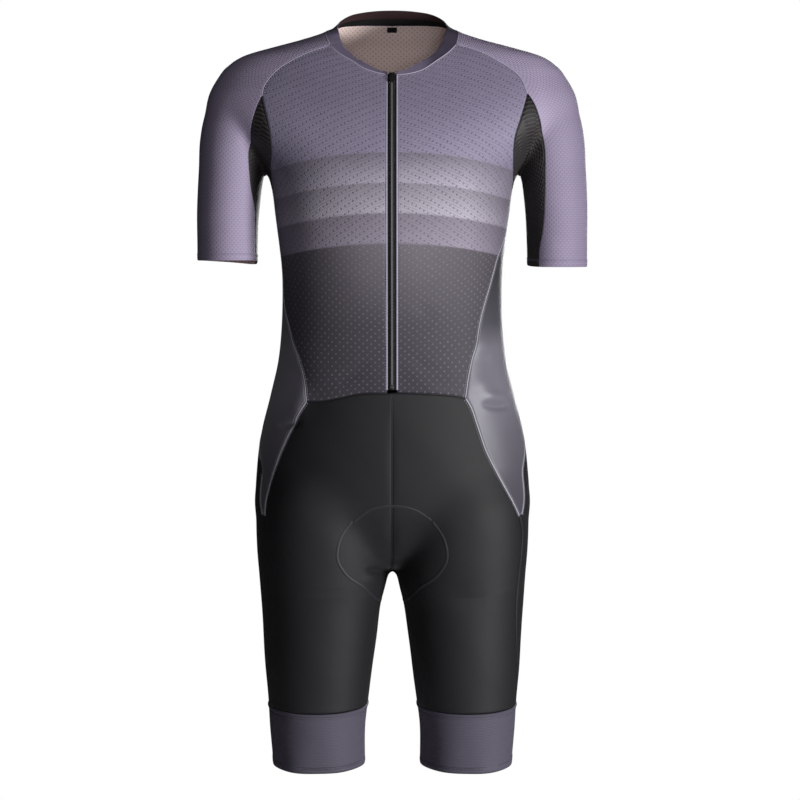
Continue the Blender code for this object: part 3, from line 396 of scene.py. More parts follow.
# Panels
def ease(grid, rounds, depth):
    """Moves the inside points of a grid along the form towards the middle of the points beside them."""
    inside = settle(grid[1:-1, 1:-1], depth, 6)
    for _ in range(rounds):
        grid[1:-1, 1:-1] = inside
        pull = (grid[:-2, 1:-1] + grid[2:, 1:-1] + grid[1:-1, :-2] + grid[1:-1, 2:]) / 4 - inside
        n = normals_at(inside)
        pull -= (pull * n).sum(2, keepdims=True) * n
        inside = settle(inside + 0.8 * pull, depth, 1)
    grid[1:-1, 1:-1] = settle(inside, depth, 4)
    return grid


def refine(values, times):
    """An array with so many times the cells between its rows."""
    at = np.arange((len(values) - 1) * times + 1) / times
    i = np.minimum(at.astype(int), len(values) - 2)
    return hermite(values, np.arange(len(values)), i, (at - i)[:, None, None], 1.0)


def fit_edges(grid, columns, top, bottom):
    """Shifts a grid so that its edges lie on the given lines; the shift fades evenly across it."""
    v = np.linspace(0, 1, len(grid))[:, None, None]
    u = np.linspace(0, 1, grid.shape[1])[None, :, None]
    grid = grid + (1 - v) * (top - grid[0]) + v * (bottom - grid[-1])
    return grid + (1 - u) * (columns[0] - grid[:, 0])[:, None] + u * (columns[-1] - grid[:, -1])[:, None]


def patch(columns, top, bottom, depth=0.0):
    """A grid on the form between its edge columns, its guide columns and its top and bottom edges: cubics
    across the columns, eased evenly on every FINE-th line first, then cut fine by cubics and eased again."""
    coarse = np.stack([line[::FINE] for line in columns])
    at = np.linspace(0, 1, len(columns))
    u = np.linspace(0, 1, len(top[::FINE]))
    i = np.clip(np.searchsorted(at, u) - 1, 0, len(at) - 2)
    t = ((u - at[i]) / at[1])[:, None, None]
    grid = hermite(coarse, at, i, t, at[1]).swapaxes(0, 1)
    ends = [columns[0][::FINE], columns[-1][::FINE]]
    grid = ease(fit_edges(grid, ends, top[::FINE], bottom[::FINE]), RELAX_ROUNDS, depth)
    grid = refine(refine(grid, FINE).swapaxes(0, 1), FINE).swapaxes(0, 1)
    return ease(fit_edges(grid, columns, top, bottom), 10, depth)


def fold_lines():
    """Each fold's line laid on the form: straight between its ends, with its middle hanging lower. Each
    point goes inwards from its face until it meets the form."""
    t = np.linspace(0, 1, 17)
    face, x0, z0, x1, z1, hang = FOLDS[:, :6, None].swapaxes(0, 1)
    x = x0 + (x1 - x0) * t
    z = z0 + (z1 - z0) * t - hang * np.sin(np.pi * t)
    depth = np.linspace(150, 0, 76)
    ray = np.stack(np.broadcast_arrays(x[..., None], face[..., None] * depth, z[..., None]), 3) * MM
    inside = form(ray.reshape(-1, 3)).reshape(ray.shape[:3]) < 0
    inside[..., -1] = True
    met = inside.argmax(2)
    return settle(np.take_along_axis(ray, met[..., None, None], 2)[:, :, 0])


FOLD_LINES = fold_lines()


def crease_height(p):
    """Height of the creases at the points p, in metres: for each fold, its height times exp(-(d/width)^2)
    and a taper sin(pi t)^0.6 towards its ends, where d is the distance to its line and t the share
    along it."""
    height = np.zeros(len(p))
    t = np.linspace(0, 1, 17)
    for (_, x0, z0, x1, z1, _, width, tall), line in zip(FOLDS, FOLD_LINES):
        reach = (line.max(0) - line.min(0)) / 2 + 2.5 * width * MM
        near = (np.abs(p - (line.max(0) + line.min(0)) / 2) < reach).all(1)
        if not near.any():
            continue
        far = ((p[near, None] - line[None]) ** 2).sum(2)
        i = far.argmin(1)
        spot = np.hypot(x1 - x0, z1 - z0) < 15
        taper = 1.0 if spot else np.sin(np.pi * np.clip(t[i], 0.02, 0.98)) ** 0.6
        height[near] += tall * MM * np.exp(-far.min(1) / (width * MM) ** 2) * taper
    x, y, z = p.T
    waves = np.sin(41 * x + 23 * z + 1.3) * np.sin(29 * z - 17 * y)
    waves = waves + np.sin(67 * z + 31 * x) * np.sin(53 * x - 20 * y)
    return height + WAVE * waves


def raised(points, height=0.0):
    """Points of the form moved out by the creases and by a height of their own."""
    flat = points.reshape(-1, 3)
    tall = crease_height(flat).reshape(points.shape[:-1] + (1,))
    return points + normals_at(points) * (tall + height)


def edge_moves(grid, normals):
    """How far the edge points move: into the panel by SEAM_GAP, and down by SEAM_SINK."""
    move = np.zeros_like(grid)
    whole = slice(None)
    edges = [((0, whole), (1, whole)), ((-1, whole), (-2, whole)),
             ((whole, 0), (whole, 1)), ((whole, -1), (whole, -2))]
    for edge, beside in edges:
        inward = grid[beside] - grid[edge]
        inward /= np.maximum(np.linalg.norm(inward, axis=1, keepdims=True), 1e-9)
        move[edge] = SEAM_GAP * inward - SEAM_SINK * normals[edge]
    return move


def link(name, mesh):
    obj = bpy.data.objects.new(name, mesh)
    bpy.context.scene.collection.objects.link(obj)
    return obj


def quads(rows, cols, around=False):
    """Corner numbers of the cells of a grid; around closes it from its last column to its first."""
    r, c = np.meshgrid(np.arange(rows - 1), np.arange(cols if around else cols - 1), indexing="ij")
    after = (c + 1) % cols
    here, below = r * cols, (r + 1) * cols
    return np.stack([here + c, here + after, below + after, below + c], 2).reshape(-1, 4)


def make_mesh(name, points, faces, uv=None):
    """A smooth mesh from arrays of points and of faces, with a place in metres on the cloth for each
    point."""
    mesh = bpy.data.meshes.new(name)
    mesh.from_pydata(points.reshape(-1, 3).tolist(), [], faces if isinstance(faces, list) else faces.tolist())
    if uv is not None:
        corner = np.zeros(len(mesh.loops), np.int32)
        mesh.loops.foreach_get("vertex_index", corner)
        layer = mesh.uv_layers.new(name="cloth")
        layer.data.foreach_set("uv", uv.reshape(-1, 2)[corner].astype(np.float32).ravel())
    mesh.shade_smooth()
    return mesh


def cloth_uv(grid, origin=0):
    """Metres across each row from the origin column, and metres down that column."""
    across = np.linalg.norm(np.diff(grid, axis=1), axis=2)
    u = np.concatenate([np.zeros((len(grid), 1)), np.cumsum(across, 1)], 1)
    v = run(grid[:, origin])[:, None]
    return np.stack(np.broadcast_arrays(u - u[:, origin:origin + 1], -v), 2)


def faces_out(grid, cells):
    """The cells turned so that they face away from the inside of the form."""
    few = cells[:: max(len(cells) // 200, 1)]
    a, b, c, d = grid.reshape(-1, 3)[few].swapaxes(0, 1)
    n = np.cross(c - a, d - b)
    out = normals_at((a + b + c + d) / 4)
    return cells if (n * out).sum() > 0 else cells[:, ::-1]


def cloth(name, grid, outside, inside, height=0.0, origin=0):
    """A panel of cloth on its grid of the form, with the creases, and a wall inside it."""
    face = raised(grid, height) + edge_moves(grid, normals_at(grid))
    mesh = make_mesh(name, face, faces_out(grid, quads(*grid.shape[:2])), cloth_uv(grid, origin))
    mesh.materials.append(outside)
    mesh.materials.append(inside)
    obj = link(name, mesh)
    wall = obj.modifiers.new("wall", "SOLIDIFY")
    wall.thickness = CLOTH
    wall.offset = -1
    wall.material_offset = 1
    return obj


def belong(obj, slot, *nodes, body="garment"):
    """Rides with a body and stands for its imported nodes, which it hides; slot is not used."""
    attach(obj, body)
    if nodes:
        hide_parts(*nodes)
    return obj


# Seams and sewing
def unit(vectors):
    return vectors / np.maximum(np.linalg.norm(vectors, axis=-1, keepdims=True), 1e-9)


def along(path, step):
    """Points along a path, so many metres apart."""
    return even(path, max(int(run(path)[-1] / step), 2))


def beside(path, aside):
    """The path moved sideways on the form."""
    n = normals_at(path)
    side = unit(np.cross(n, np.gradient(path, axis=0)))
    return settle(path + aside * side, 0.0, 4)


def threads(name, paths, width, tall, material, sink=0.2, step=0.0022):
    """Seam thread laid over seam lines: an oval tube of 8 sides along each path, sunk by a share of its
    height."""
    points, faces, uvs, start = [], [], [], 0
    turn = np.linspace(0, 2 * np.pi, 8, endpoint=False)
    for path in paths:
        line = along(path, step)
        n = normals_at(line)
        side = unit(np.cross(n, np.gradient(line, axis=0)))
        core = raised(line, tall * (0.5 - sink) - SEAM_SINK)
        ends = np.ones(len(line))
        ends[0] = ends[-1] = 0.35
        ring = np.cos(turn)[None, :, None] * side[:, None] * width / 2
        ring = ring + np.sin(turn)[None, :, None] * n[:, None] * tall / 2
        tube = core[:, None] + ring * ends[:, None, None]
        at = np.arange(len(line)) * step
        uvs.append(np.stack(np.broadcast_arrays(turn[None] * width / 6, at[:, None]), 2).reshape(-1, 2))
        points.append(tube.reshape(-1, 3))
        cells = quads(len(line), 8, around=True)[:, ::-1] + start
        last = start + (len(line) - 1) * 8
        caps = [list(range(start, start + 8)), list(range(last + 7, last - 1, -1))]
        faces += cells.tolist() + caps
        start += len(line) * 8
    mesh = make_mesh(name, np.concatenate(points), faces, np.concatenate(uvs))
    mesh.materials.append(material)
    fix_normals(mesh)
    return belong(link(name, mesh), None)


def fix_normals(mesh):
    """Turns every face of a closed mesh outwards."""
    solid = bmesh.new()
    solid.from_mesh(mesh)
    bmesh.ops.recalc_face_normals(solid, faces=solid.faces)
    solid.to_mesh(mesh)
    solid.free()


def lozenge(rings=3, sides=6):
    """A stitch of length 2, width 2 and height 2 along X: rings with radius sin, closed by a point at each
    end."""
    a = np.linspace(0, np.pi, rings + 2)[1:-1]
    turn = np.linspace(0, 2 * np.pi, sides, endpoint=False)
    x = np.broadcast_to(-np.cos(a)[:, None], (rings, sides))
    wide = np.sqrt(np.sin(a))[:, None]
    body = np.stack([x, wide * np.cos(turn), wide * np.sin(turn)], 2).reshape(-1, 3)
    points = np.concatenate([body, [(-1, 0, 0), (1, 0, 0)]])
    faces = quads(rings, sides, around=True).tolist()
    first, last = rings * sides, rings * sides + 1
    k = np.arange(sides)
    after = (k + 1) % sides
    faces += np.stack([np.full(sides, first), after, k], 1).tolist()
    base = (rings - 1) * sides
    faces += np.stack([np.full(sides, last), base + k, base + after], 1).tolist()
    return points, faces


def scatter(name, centres, axes, template, material):
    """One mesh of copies of a template, each with its centre and its three scaled axes."""
    points, faces = template
    places = centres[:, None] + np.einsum("vk,skx->svx", points, axes)
    index = [[j + k * len(points) for j in face] for k in range(len(centres)) for face in faces]
    mesh = make_mesh(name, places, index)
    mesh.materials.append(material)
    fix_normals(mesh)
    return belong(link(name, mesh), None)


def stitches(name, paths, material, length=0.0026, gap=0.0010, width=0.00055, tall=0.00045, out=0.00005):
    """Rows of stitches along paths on the form, each lying on the cloth."""
    centres, axes = [], []
    for path in paths:
        line = along(path, length + gap)
        middle = (line[:-1] + line[1:]) / 2
        n = normals_at(middle)
        t = unit(np.diff(line, axis=0))
        t = unit(t - (t * n).sum(1, keepdims=True) * n)
        side = np.cross(n, t)
        centres.append(raised(middle, out))
        axes.append(np.stack([t * length / 2, side * width / 2, n * tall / 2], 1))
    return scatter(name, np.concatenate(centres), np.concatenate(axes), lozenge(), material)


# Finishes
def tint(red, green, blue):
    """A colour from its 0 to 255 values."""
    s = np.array((red, green, blue)) / 255
    light = np.where(s <= 0.04045, s / 12.92, ((s + 0.055) / 1.055) ** 2.4)
    return (*(float(c) for c in light), 1.0)


class Value:
    """A socket of a shader that takes part in sums: + - * and / add Math nodes."""

    def __init__(self, finish, socket):
        self.finish, self.socket = finish, socket

    def math(self, operation, a, b=0.0, clamp=False):
        return self.finish.add("ShaderNodeMath", {"operation": operation, "use_clamp": clamp}, {0: a, 1: b})

    def __add__(self, other):
        return self.math("ADD", self, other)

    def __sub__(self, other):
        return self.math("SUBTRACT", self, other)

    def __rsub__(self, other):
        return self.math("SUBTRACT", other, self)

    def __mul__(self, other):
        return self.math("MULTIPLY", self, other)

    def __truediv__(self, other):
        return self.math("DIVIDE", self, other)

    __radd__, __rmul__ = __add__, __mul__

    def sine(self):
        return self.math("SINE", self)

    def cosine(self):
        return self.math("COSINE", self)

    def above(self, level, soft):
        """0 below the level, 1 above it, and straight between over the width soft."""
        return self.math("MULTIPLY", self - (level - soft / 2), 1 / soft, clamp=True)

    def size(self):
        return self.math("ABSOLUTE", self)

    def part(self, axis):
        return self.finish.add("ShaderNodeSeparateXYZ", {}, {0: self}, output=axis)


class Finish:
    """A procedural material; constants are set on the shader, and what varies is linked to it."""

    def __init__(self, name, roughness, **constants):
        self.material = bpy.data.materials.new(name)
        self.material.use_nodes = True
        self.tree = self.material.node_tree
        self.shader = self.tree.nodes["Principled BSDF"]
        self.shader.inputs["Roughness"].default_value = roughness
        for socket, value in constants.items():
            self.shader.inputs[socket.replace("_", " ").title().replace("Ior", "IOR")].default_value = value

    def add(self, kind, settings, inputs, output=0):
        """Adds a node, sets its settings and its ramp's stops, and links or sets its sockets."""
        node = self.tree.nodes.new(kind)
        for key, value in settings.items():
            if key == "stops":
                ramp = node.color_ramp
                while len(ramp.elements) < len(value):
                    ramp.elements.new(0.5)
                for element, (place, colour) in zip(ramp.elements, value):
                    element.position, element.color = place, colour
            else:
                setattr(node, key, value)
        for key, value in inputs.items():
            if isinstance(value, Value):
                self.tree.links.new(value.socket, node.inputs[key])
            else:
                node.inputs[key].default_value = value
        return Value(self, node.outputs[output])

    def uv(self):
        """Metres across and metres down the cloth."""
        place = self.add("ShaderNodeUVMap", {"uv_map": "cloth"}, {})
        return place.part(0), place.part(1)

    def place(self):
        """x, y and z in metres."""
        place = self.add("ShaderNodeTexCoord", {}, {}, output=3)
        return [place.part(k) for k in range(3)]

    def noise(self, scale, detail=3.0, rough=0.5):
        place = self.add("ShaderNodeTexCoord", {}, {}, output=3)
        inputs = {"Vector": place, "Scale": scale, "Detail": detail, "Roughness": rough}
        return self.add("ShaderNodeTexNoise", {}, inputs)

    def mix(self, factor, a, b, blend="MIX"):
        settings = {"data_type": "RGBA", "blend_type": blend}
        return self.add("ShaderNodeMix", settings, {0: factor, 6: a, 7: b}, output=2)

    def ramp(self, value, stops):
        return self.add("ShaderNodeValToRGB", {"stops": stops}, {0: value})

    def colour(self, value):
        self.tree.links.new(value.socket, self.shader.inputs["Base Color"])

    def bump(self, height, distance, strength=1.0):
        bump = self.add("ShaderNodeBump", {}, {"Strength": strength, "Distance": distance, "Height": height})
        self.tree.links.new(bump.socket, self.shader.inputs["Normal"])


TURN = 2 * np.pi


def lattice(u, v, across, down):
    """A staggered lattice: cos(2 pi u / across) * cos(2 pi v / down), 1 at each dot and -1 between them."""
    return (u * (TURN / across)).cosine() * (v * (TURN / down)).cosine()


# Lines and panels
def fine(name, side, key, depth=0.0):
    return seam(name, side, CELLS[key] * FINE, depth)


def seam_lines(side):
    """All seam lines of one side, cut fine."""
    keys = {"collar_front": "collar_front", "collar_side": "collar_side", "collar_back": "collar_back",
            "raglan_front": "raglan", "raglan_back": "raglan", "gusset_chest": "gusset_body",
            "gusset_back": "gusset_body", "gusset_arm": "gusset_arm", "gusset_arm_back": "gusset_arm",
            "side_front": "side", "side_back": "side", "side_top": "across_side", "hip_front": "hip",
            "hip_back": "hip", "waist_front": "collar_front", "waist_back": "collar_back", "outseam": "thigh",
            "inseam": "inseam", "band_top_front": "band_front", "band_top_back": "band_back",
            "band_inseam": "band_down", "gusset_hem": "across_side", "sleeve_hem": "collar_side",
            "band_hem_front": "band_front", "band_hem_back": "band_back"}
    line = {name: fine(name, side, key) for name, key in keys.items()}
    line["centre_front"] = fine("centre_front", 1, "centre_front")
    line["centre_back"] = fine("centre_back", 1, "centre_back")
    line["outseam"][0] = line["hip_front"][-1]
    return line


def from_end(grid, last=True):
    """Distance of each point of a grid from its last row, or from its first, down the columns."""
    down = np.linalg.norm(np.diff(grid, axis=0), axis=2)
    down = down[::-1] if last else down
    distance = np.concatenate([np.zeros((1, grid.shape[1])), np.cumsum(down, 0)])
    return (distance[::-1] if last else distance)[..., None]


def hem_step(distance):
    """Height of the hem: HEM_THICK within HEM_FOLD of the edge, with a soft step."""
    return HEM_THICK * np.clip((HEM_FOLD - distance) / HEM_SOFT + 0.5, 0, 1)


def side_name(word, side):
    return word + ("_left" if side > 0 else "_right")


def build_jersey(lines):
    for side, line in lines.items():
        down = join(line["raglan_front"], line["gusset_chest"], line["side_front"])
        zip_edge = seam("zip_edge", side, len(down) - 1)
        zip_edge[0], zip_edge[-1] = line["collar_front"][0], line["waist_front"][0]
        grid = patch([zip_edge, down], line["collar_front"], line["waist_front"])
        obj = cloth(side_name("front_cloth", side), grid, FRONT, INSIDE)
        belong(obj, "front_knit", side_name("front", side))

        down_front = join(line["raglan_front"], line["gusset_arm"])
        down_back = join(line["raglan_back"], line["gusset_arm_back"])
        guides = [seam(name, side, len(down_front) - 1)
                  for name in ("sleeve_front", "shoulder", "sleeve_back")]
        grid = patch([down_front, *guides, down_back], line["collar_side"], line["sleeve_hem"])
        obj = cloth(side_name("sleeve_cloth", side), grid, SLEEVE, INSIDE, hem_step(from_end(grid)),
                    origin=grid.shape[1] // 2)
        belong(obj, "sleeve_knit", side_name("sleeve", side))

        front_edge = join(line["gusset_arm"][::-1], line["gusset_chest"])
        back_edge = join(line["gusset_arm_back"][::-1], line["gusset_back"])
        guides = [join(fine(name + "_arm", side, "gusset_arm"), fine(name + "_body", side, "gusset_body"))
                  for name in ("armpit_front", "armpit", "armpit_back")]
        grid = patch([front_edge, *guides, back_edge], line["gusset_hem"], line["side_top"])
        obj = cloth(side_name("underarm_cloth", side), grid, MESH, MESH, hem_step(from_end(grid, False)),
                    origin=grid.shape[1] // 2)
        belong(obj, "black_mesh", side_name("underarm", side))

        front_edge = join(line["side_front"], line["hip_front"])
        back_edge = join(line["side_back"], line["hip_back"])
        tip = even(np.stack([line["hip_front"][-1], line["hip_back"][-1]]), CELLS["across_side"] * FINE)
        grid = patch([front_edge, back_edge], line["side_top"], tip)
        obj = cloth(side_name("side_cloth", side), grid, SIDE, SHORTS_INSIDE)
        belong(obj, "side_knit", side_name("side", side))
    columns = [join(lines[s]["raglan_back"], lines[s]["gusset_back"], lines[s]["side_back"]) for s in (-1, 1)]
    middle = seam("back_middle", 1, len(columns[0]) - 1)
    top = join(lines[-1]["collar_back"], lines[1]["collar_back"][::-1])
    bottom = join(lines[-1]["waist_back"], lines[1]["waist_back"][::-1])
    grid = patch([columns[0], middle, columns[1]], top, bottom)
    back = cloth("back_cloth", grid, BACK, INSIDE, origin=grid.shape[1] // 2)
    belong(back, "back_knit", "back")


def band_profile(v):
    """Height of the leg band v metres down: a folded ridge along its top, a groove under it, and a turned
    hem."""
    mm = v / MM
    ridge = 1.2 * np.exp(-(((mm - 2.2) / 1.7) ** 4)) - 0.35 * np.exp(-(((mm - 5.6) / 0.9) ** 2))
    return MM * (ridge + 0.35 * np.clip((mm - 72.5) / 1.5, 0, 1))


def build_shorts(lines):
    for side, line in lines.items():
        centre = join(line["centre_front"], line["inseam"])
        outer = join(line["hip_front"], line["outseam"])
        gap = even(np.stack([centre[0], line["waist_front"][0]]), FINE)
        top = join(gap, line["waist_front"])
        guide = seam("thigh_front", side, len(centre) - 1)
        grid = patch([centre, guide, outer], top, line["band_top_front"])
        obj = cloth(side_name("shorts_front_cloth", side), grid, SHORTS, SHORTS_INSIDE)
        belong(obj, "shorts_knit", side_name("shorts_front", side))

        centre = join(line["centre_back"], line["inseam"])
        tip = even(np.stack([line["hip_back"][-1], line["outseam"][0]]), FINE)
        outer = join(line["hip_back"], tip, line["outseam"])
        guide = seam("thigh_back", side, len(centre) - 1)
        grid = patch([centre, guide, outer], line["waist_back"][::-1], line["band_top_back"][::-1])
        obj = cloth(side_name("shorts_back_cloth", side), grid, SHORTS, SHORTS_INSIDE)
        belong(obj, "shorts_knit", side_name("shorts_back", side))

        ring = join(line["band_top_front"], line["band_top_back"])
        hem = join(line["band_hem_front"], line["band_hem_back"])
        down = np.concatenate([np.arange(0, 8.1, 0.5), np.arange(11, 72, 3.5), np.arange(71.5, 75, 0.6),
                               [77, BAND_HEIGHT]])
        v = (down / BAND_HEIGHT)[:, None, None]
        grid = settle(ring[None] * (1 - v) + hem[None] * v, 0.0, 8)
        turn = np.linspace(0, 2 * np.pi, grid.shape[1])[None, :, None]
        sway = 0.0009 * np.sin(3 * turn + 0.6) + 0.0005 * np.sin(7 * turn)
        obj = cloth(side_name("band_cloth", side), grid, BAND, BAND_INSIDE,
                    band_profile(down[:, None, None] * MM) + sway * np.clip(v * 1.5 - 0.5, 0, 1))
        belong(obj, "band_knit", side_name("leg_band", side))


def build_pad():
    """The pad: a closed cushion whose edges thin out, with three soft channels moulded down it."""
    depth = PAD_DEPTH
    edges = [seam("pad_edge", side, CELLS["pad_down"] * 4, depth) for side in (-1, 1)]
    front = seam("pad_front", 1, CELLS["pad_across"] * 4, depth)
    back = seam("pad_back", 1, CELLS["pad_across"] * 4, depth)
    edges[0][0], edges[0][-1], edges[1][0], edges[1][-1] = front[0], back[0], front[-1], back[-1]
    middle = seam("pad_middle", 1, CELLS["pad_down"] * 4, depth)
    u = np.linspace(0, 1, len(front))
    i = np.clip(np.searchsorted([0, 0.5, 1], u) - 1, 0, 1)
    lines = np.stack([edges[0], middle, edges[1]])
    t = ((u - 0.5 * i) / 0.5)[:, None, None]
    grid = hermite(lines, np.array([0, 0.5, 1]), i, t, 0.5).swapaxes(0, 1)
    grid = ease(fit_edges(grid, [edges[0], edges[1]], front, back), 60, depth)
    rows, cols = grid.shape[:2]
    a = np.abs(np.linspace(-1, 1, cols))[None, :, None]
    b = np.abs(np.linspace(-1, 1, rows))[:, None, None]
    full = (1 - a**6) * (1 - b**8)
    dents = np.exp(-(((a - 0.34) / 0.05) ** 2)) * (b < 0.75) + 0.8 * np.exp(-((a / 0.05) ** 2)) * (b < 0.55)
    n = normals_at(grid)
    inner = grid - n * PAD_THICK * np.clip(0.22 + 0.78 * full - 0.34 * dents * full, 0.15, 1)
    cells = quads(rows, cols)
    around = np.concatenate([np.arange(cols), np.arange(2, rows + 1) * cols - 1,
                             np.arange(rows * cols - 2, (rows - 1) * cols - 1, -1),
                             np.arange(rows - 2, 0, -1) * cols])
    after, under = np.roll(around, -1), rows * cols
    rim = np.stack([around, after, after + under, around + under], 1)
    points = np.concatenate([grid.reshape(-1, 3), inner.reshape(-1, 3)])
    uv = cloth_uv(grid, cols // 2)
    mesh = make_mesh("pad_cushion", points, np.concatenate([cells, cells[:, ::-1] + under, rim[:, ::-1]]),
                     np.concatenate([uv, uv]))
    mesh.materials.append(PAD)
    fix_normals(mesh)
    obj = belong(link("pad_cushion", mesh), "pad_cover", "pad")


# Collar
def collar_grid(lines, rows):
    """The stand from the neck seam to the rim, as rows of points, and the direction of its wall at each
    point."""
    left, right = lines[1], lines[-1]
    base = join(left["collar_front"], left["collar_side"], left["collar_back"],
                right["collar_back"][::-1], right["collar_side"][::-1], right["collar_front"][::-1])
    rim_left = np.array(RIM) * MM
    whole = np.concatenate([rim_left, (rim_left * (-1, 1, 1))[::-1][1:]])
    rim = even(spline(whole, 800), 800)
    length = run(base)
    share, at = length / length[-1], np.linspace(0, 1, len(rim))
    rim = np.stack([np.interp(share, at, rim[:, k]) for k in range(3)], 1)
    v = np.linspace(0, 1, rows + 1)[:, None, None]
    grid = base[None] * (1 - v) + rim[None] * v
    along_it = np.gradient(grid, axis=1)
    own = unit(np.cross(along_it, np.broadcast_to(rim - base, grid.shape)))
    own *= np.sign((own[:, :, :1] * grid[:, :, :1]).sum())
    for _ in range(60):
        middle = (own[:, :-2] + 2 * own[:, 1:-1] + own[:, 2:]) / 4
        own = unit(np.concatenate([own[:, :1], middle, own[:, -1:]], 1))
    blend = np.clip(v * 1.4, 0, 1)
    return grid, unit(normals_at(base)[None] * (1 - blend) + own * blend)


def between(grid, shares):
    """Rows of a grid at the given shares of its height."""
    v = np.asarray(shares) * (len(grid) - 1)
    i = np.minimum(v.astype(int), len(grid) - 2)
    t = (v - i)[:, None, None]
    return grid[i] * (1 - t) + grid[i + 1] * t


def folded_band(name, grid, n, shares, wall, out, outside, material_slot, nodes):
    """A band of cloth folded over at its top: out along its outer face, round the fold and down the inner
    face."""
    face = between(grid, shares)
    m = unit(between(n, shares))
    lift = out * m
    outer, inner = face + lift, face + lift - wall * m
    up = unit(face[-1:] - face[-2:-1])
    a = np.array([0.25, 0.5, 0.75])[:, None, None] * np.pi
    middle = (outer[-1:] + inner[-1:]) / 2 - up * wall / 2
    top = middle + np.cos(a) * m[-1:] * wall / 2 + np.sin(a) * up * wall / 2
    outer[-1] -= up[0] * wall / 2
    inner[-1] -= up[0] * wall / 2
    loop = np.concatenate([outer, top, inner[::-1]])
    rows, cols = loop.shape[:2]
    cells = quads(cols, rows, around=True)
    points = loop.swapaxes(0, 1)
    caps = [list(range(rows)), list(range((cols - 1) * rows, cols * rows))]
    uv = cloth_uv(loop, 0).swapaxes(0, 1)
    mesh = make_mesh(name, points, cells.tolist() + caps, uv)
    mesh.materials.append(outside)
    fix_normals(mesh)
    return belong(link(name, mesh), material_slot, *nodes)


def build_collar(lines):
    grid, n = collar_grid(lines, 12)
    turn = np.linspace(0, 1, grid.shape[1])[None, :, None]
    ripple = 0.00025 * np.sin(TURN * 9 * turn) + 0.00015 * np.sin(TURN * 23 * turn + 1)
    grid = grid + n * ripple * np.linspace(0, 1, 13)[:, None, None]
    shares = [0, 0.012, 0.03, 0.07, 0.12, 0.2, 0.3, 0.4, 0.5, 0.6, 0.7, 0.8, 0.9, 0.96, 1]
    collar = folded_band("collar_cloth", grid, n, shares, COLLAR_WALL, 0.0, COLLAR, "collar_knit", ["collar"])
    count = grid.shape[1]
    keep = slice((CELLS["collar_front"] + 6) * FINE, count - (CELLS["collar_front"] + 6) * FINE)
    cut, m, inset = grid[:, keep], n[:, keep], -(COLLAR_WALL + FACING_GAP)
    facing = folded_band("facing_cloth", cut, m, np.linspace(0.44, 0.965, 7), FACING_WALL, inset,
                         FACING, "maroon_facing", ["collar_facing"])
    tape = folded_band("neck_tape_cloth", cut, m, np.linspace(0.05, 0.43, 7), FACING_WALL, inset,
                       TAPE, "black_tape", ["neck_tape"])
    rows = np.array([0.0265, 0.0258, 0.0235, 0.0205, 0.0185, 0.0180])
    x = np.linspace(-0.0070, 0.0060, 12)
    flat = np.stack(np.broadcast_arrays(x[None, :], 0.073, rows[:, None]), 2)
    face = settle(flat, 0.0021, 10)
    depth = settle(flat, 0.0030, 10)
    loop = np.concatenate([face, depth[::-1]])
    points = loop.swapaxes(0, 1)
    count = len(loop)
    caps = [list(range(count)), list(range((len(x) - 1) * count, len(x) * count))]
    mesh = make_mesh("label_cloth", points, quads(len(x), count, around=True).tolist() + caps,
                     cloth_uv(loop, 0).swapaxes(0, 1))
    mesh.materials.append(LABEL)
    fix_normals(mesh)
    belong(link("label_cloth", mesh), "black_label", "neck_label")


# Zip
def front_line(z):
    """Points of the form on its middle line at the heights z, on the front."""
    y = np.full(len(z), -0.1)
    for _ in range(30):
        p = np.stack([np.zeros(len(z)), y, z], 1)
        y = y + form(p) / np.maximum(np.abs(gradient(p)[:, 1]), 0.2)
    return np.stack([np.zeros(len(z)), y, z], 1)


def zip_line(top, bottom, step):
    """The zip's middle line at an even step, the way out of it and the way down it."""
    line = along(front_line(np.linspace(top, bottom, 400)), step)
    n = normals_at(line)
    n[:, 0] = 0
    n = unit(n)
    return line, n, unit(np.gradient(line, axis=0))


def bar(name, line, frame_out, across, profile, material, material_slot, nodes, uv_step):
    """A bar along a line with one section throughout; profile gives the section as (across, out) in
    metres."""
    profile = np.asarray(profile, float)
    points = line[:, None] + profile[None, :, :1] * across + profile[None, :, 1:] * frame_out[:, None]
    k = len(profile)
    caps = [list(range(k)), list(range((len(line) - 1) * k, len(line) * k))]
    uv = np.stack(np.broadcast_arrays(profile[None, :, 0], -uv_step * np.arange(len(line))[:, None]), 2)
    mesh = make_mesh(name, points, quads(len(line), k, around=True).tolist() + caps, uv)
    mesh.materials.append(material)
    fix_normals(mesh)
    return belong(link(name, mesh), material_slot, *nodes)


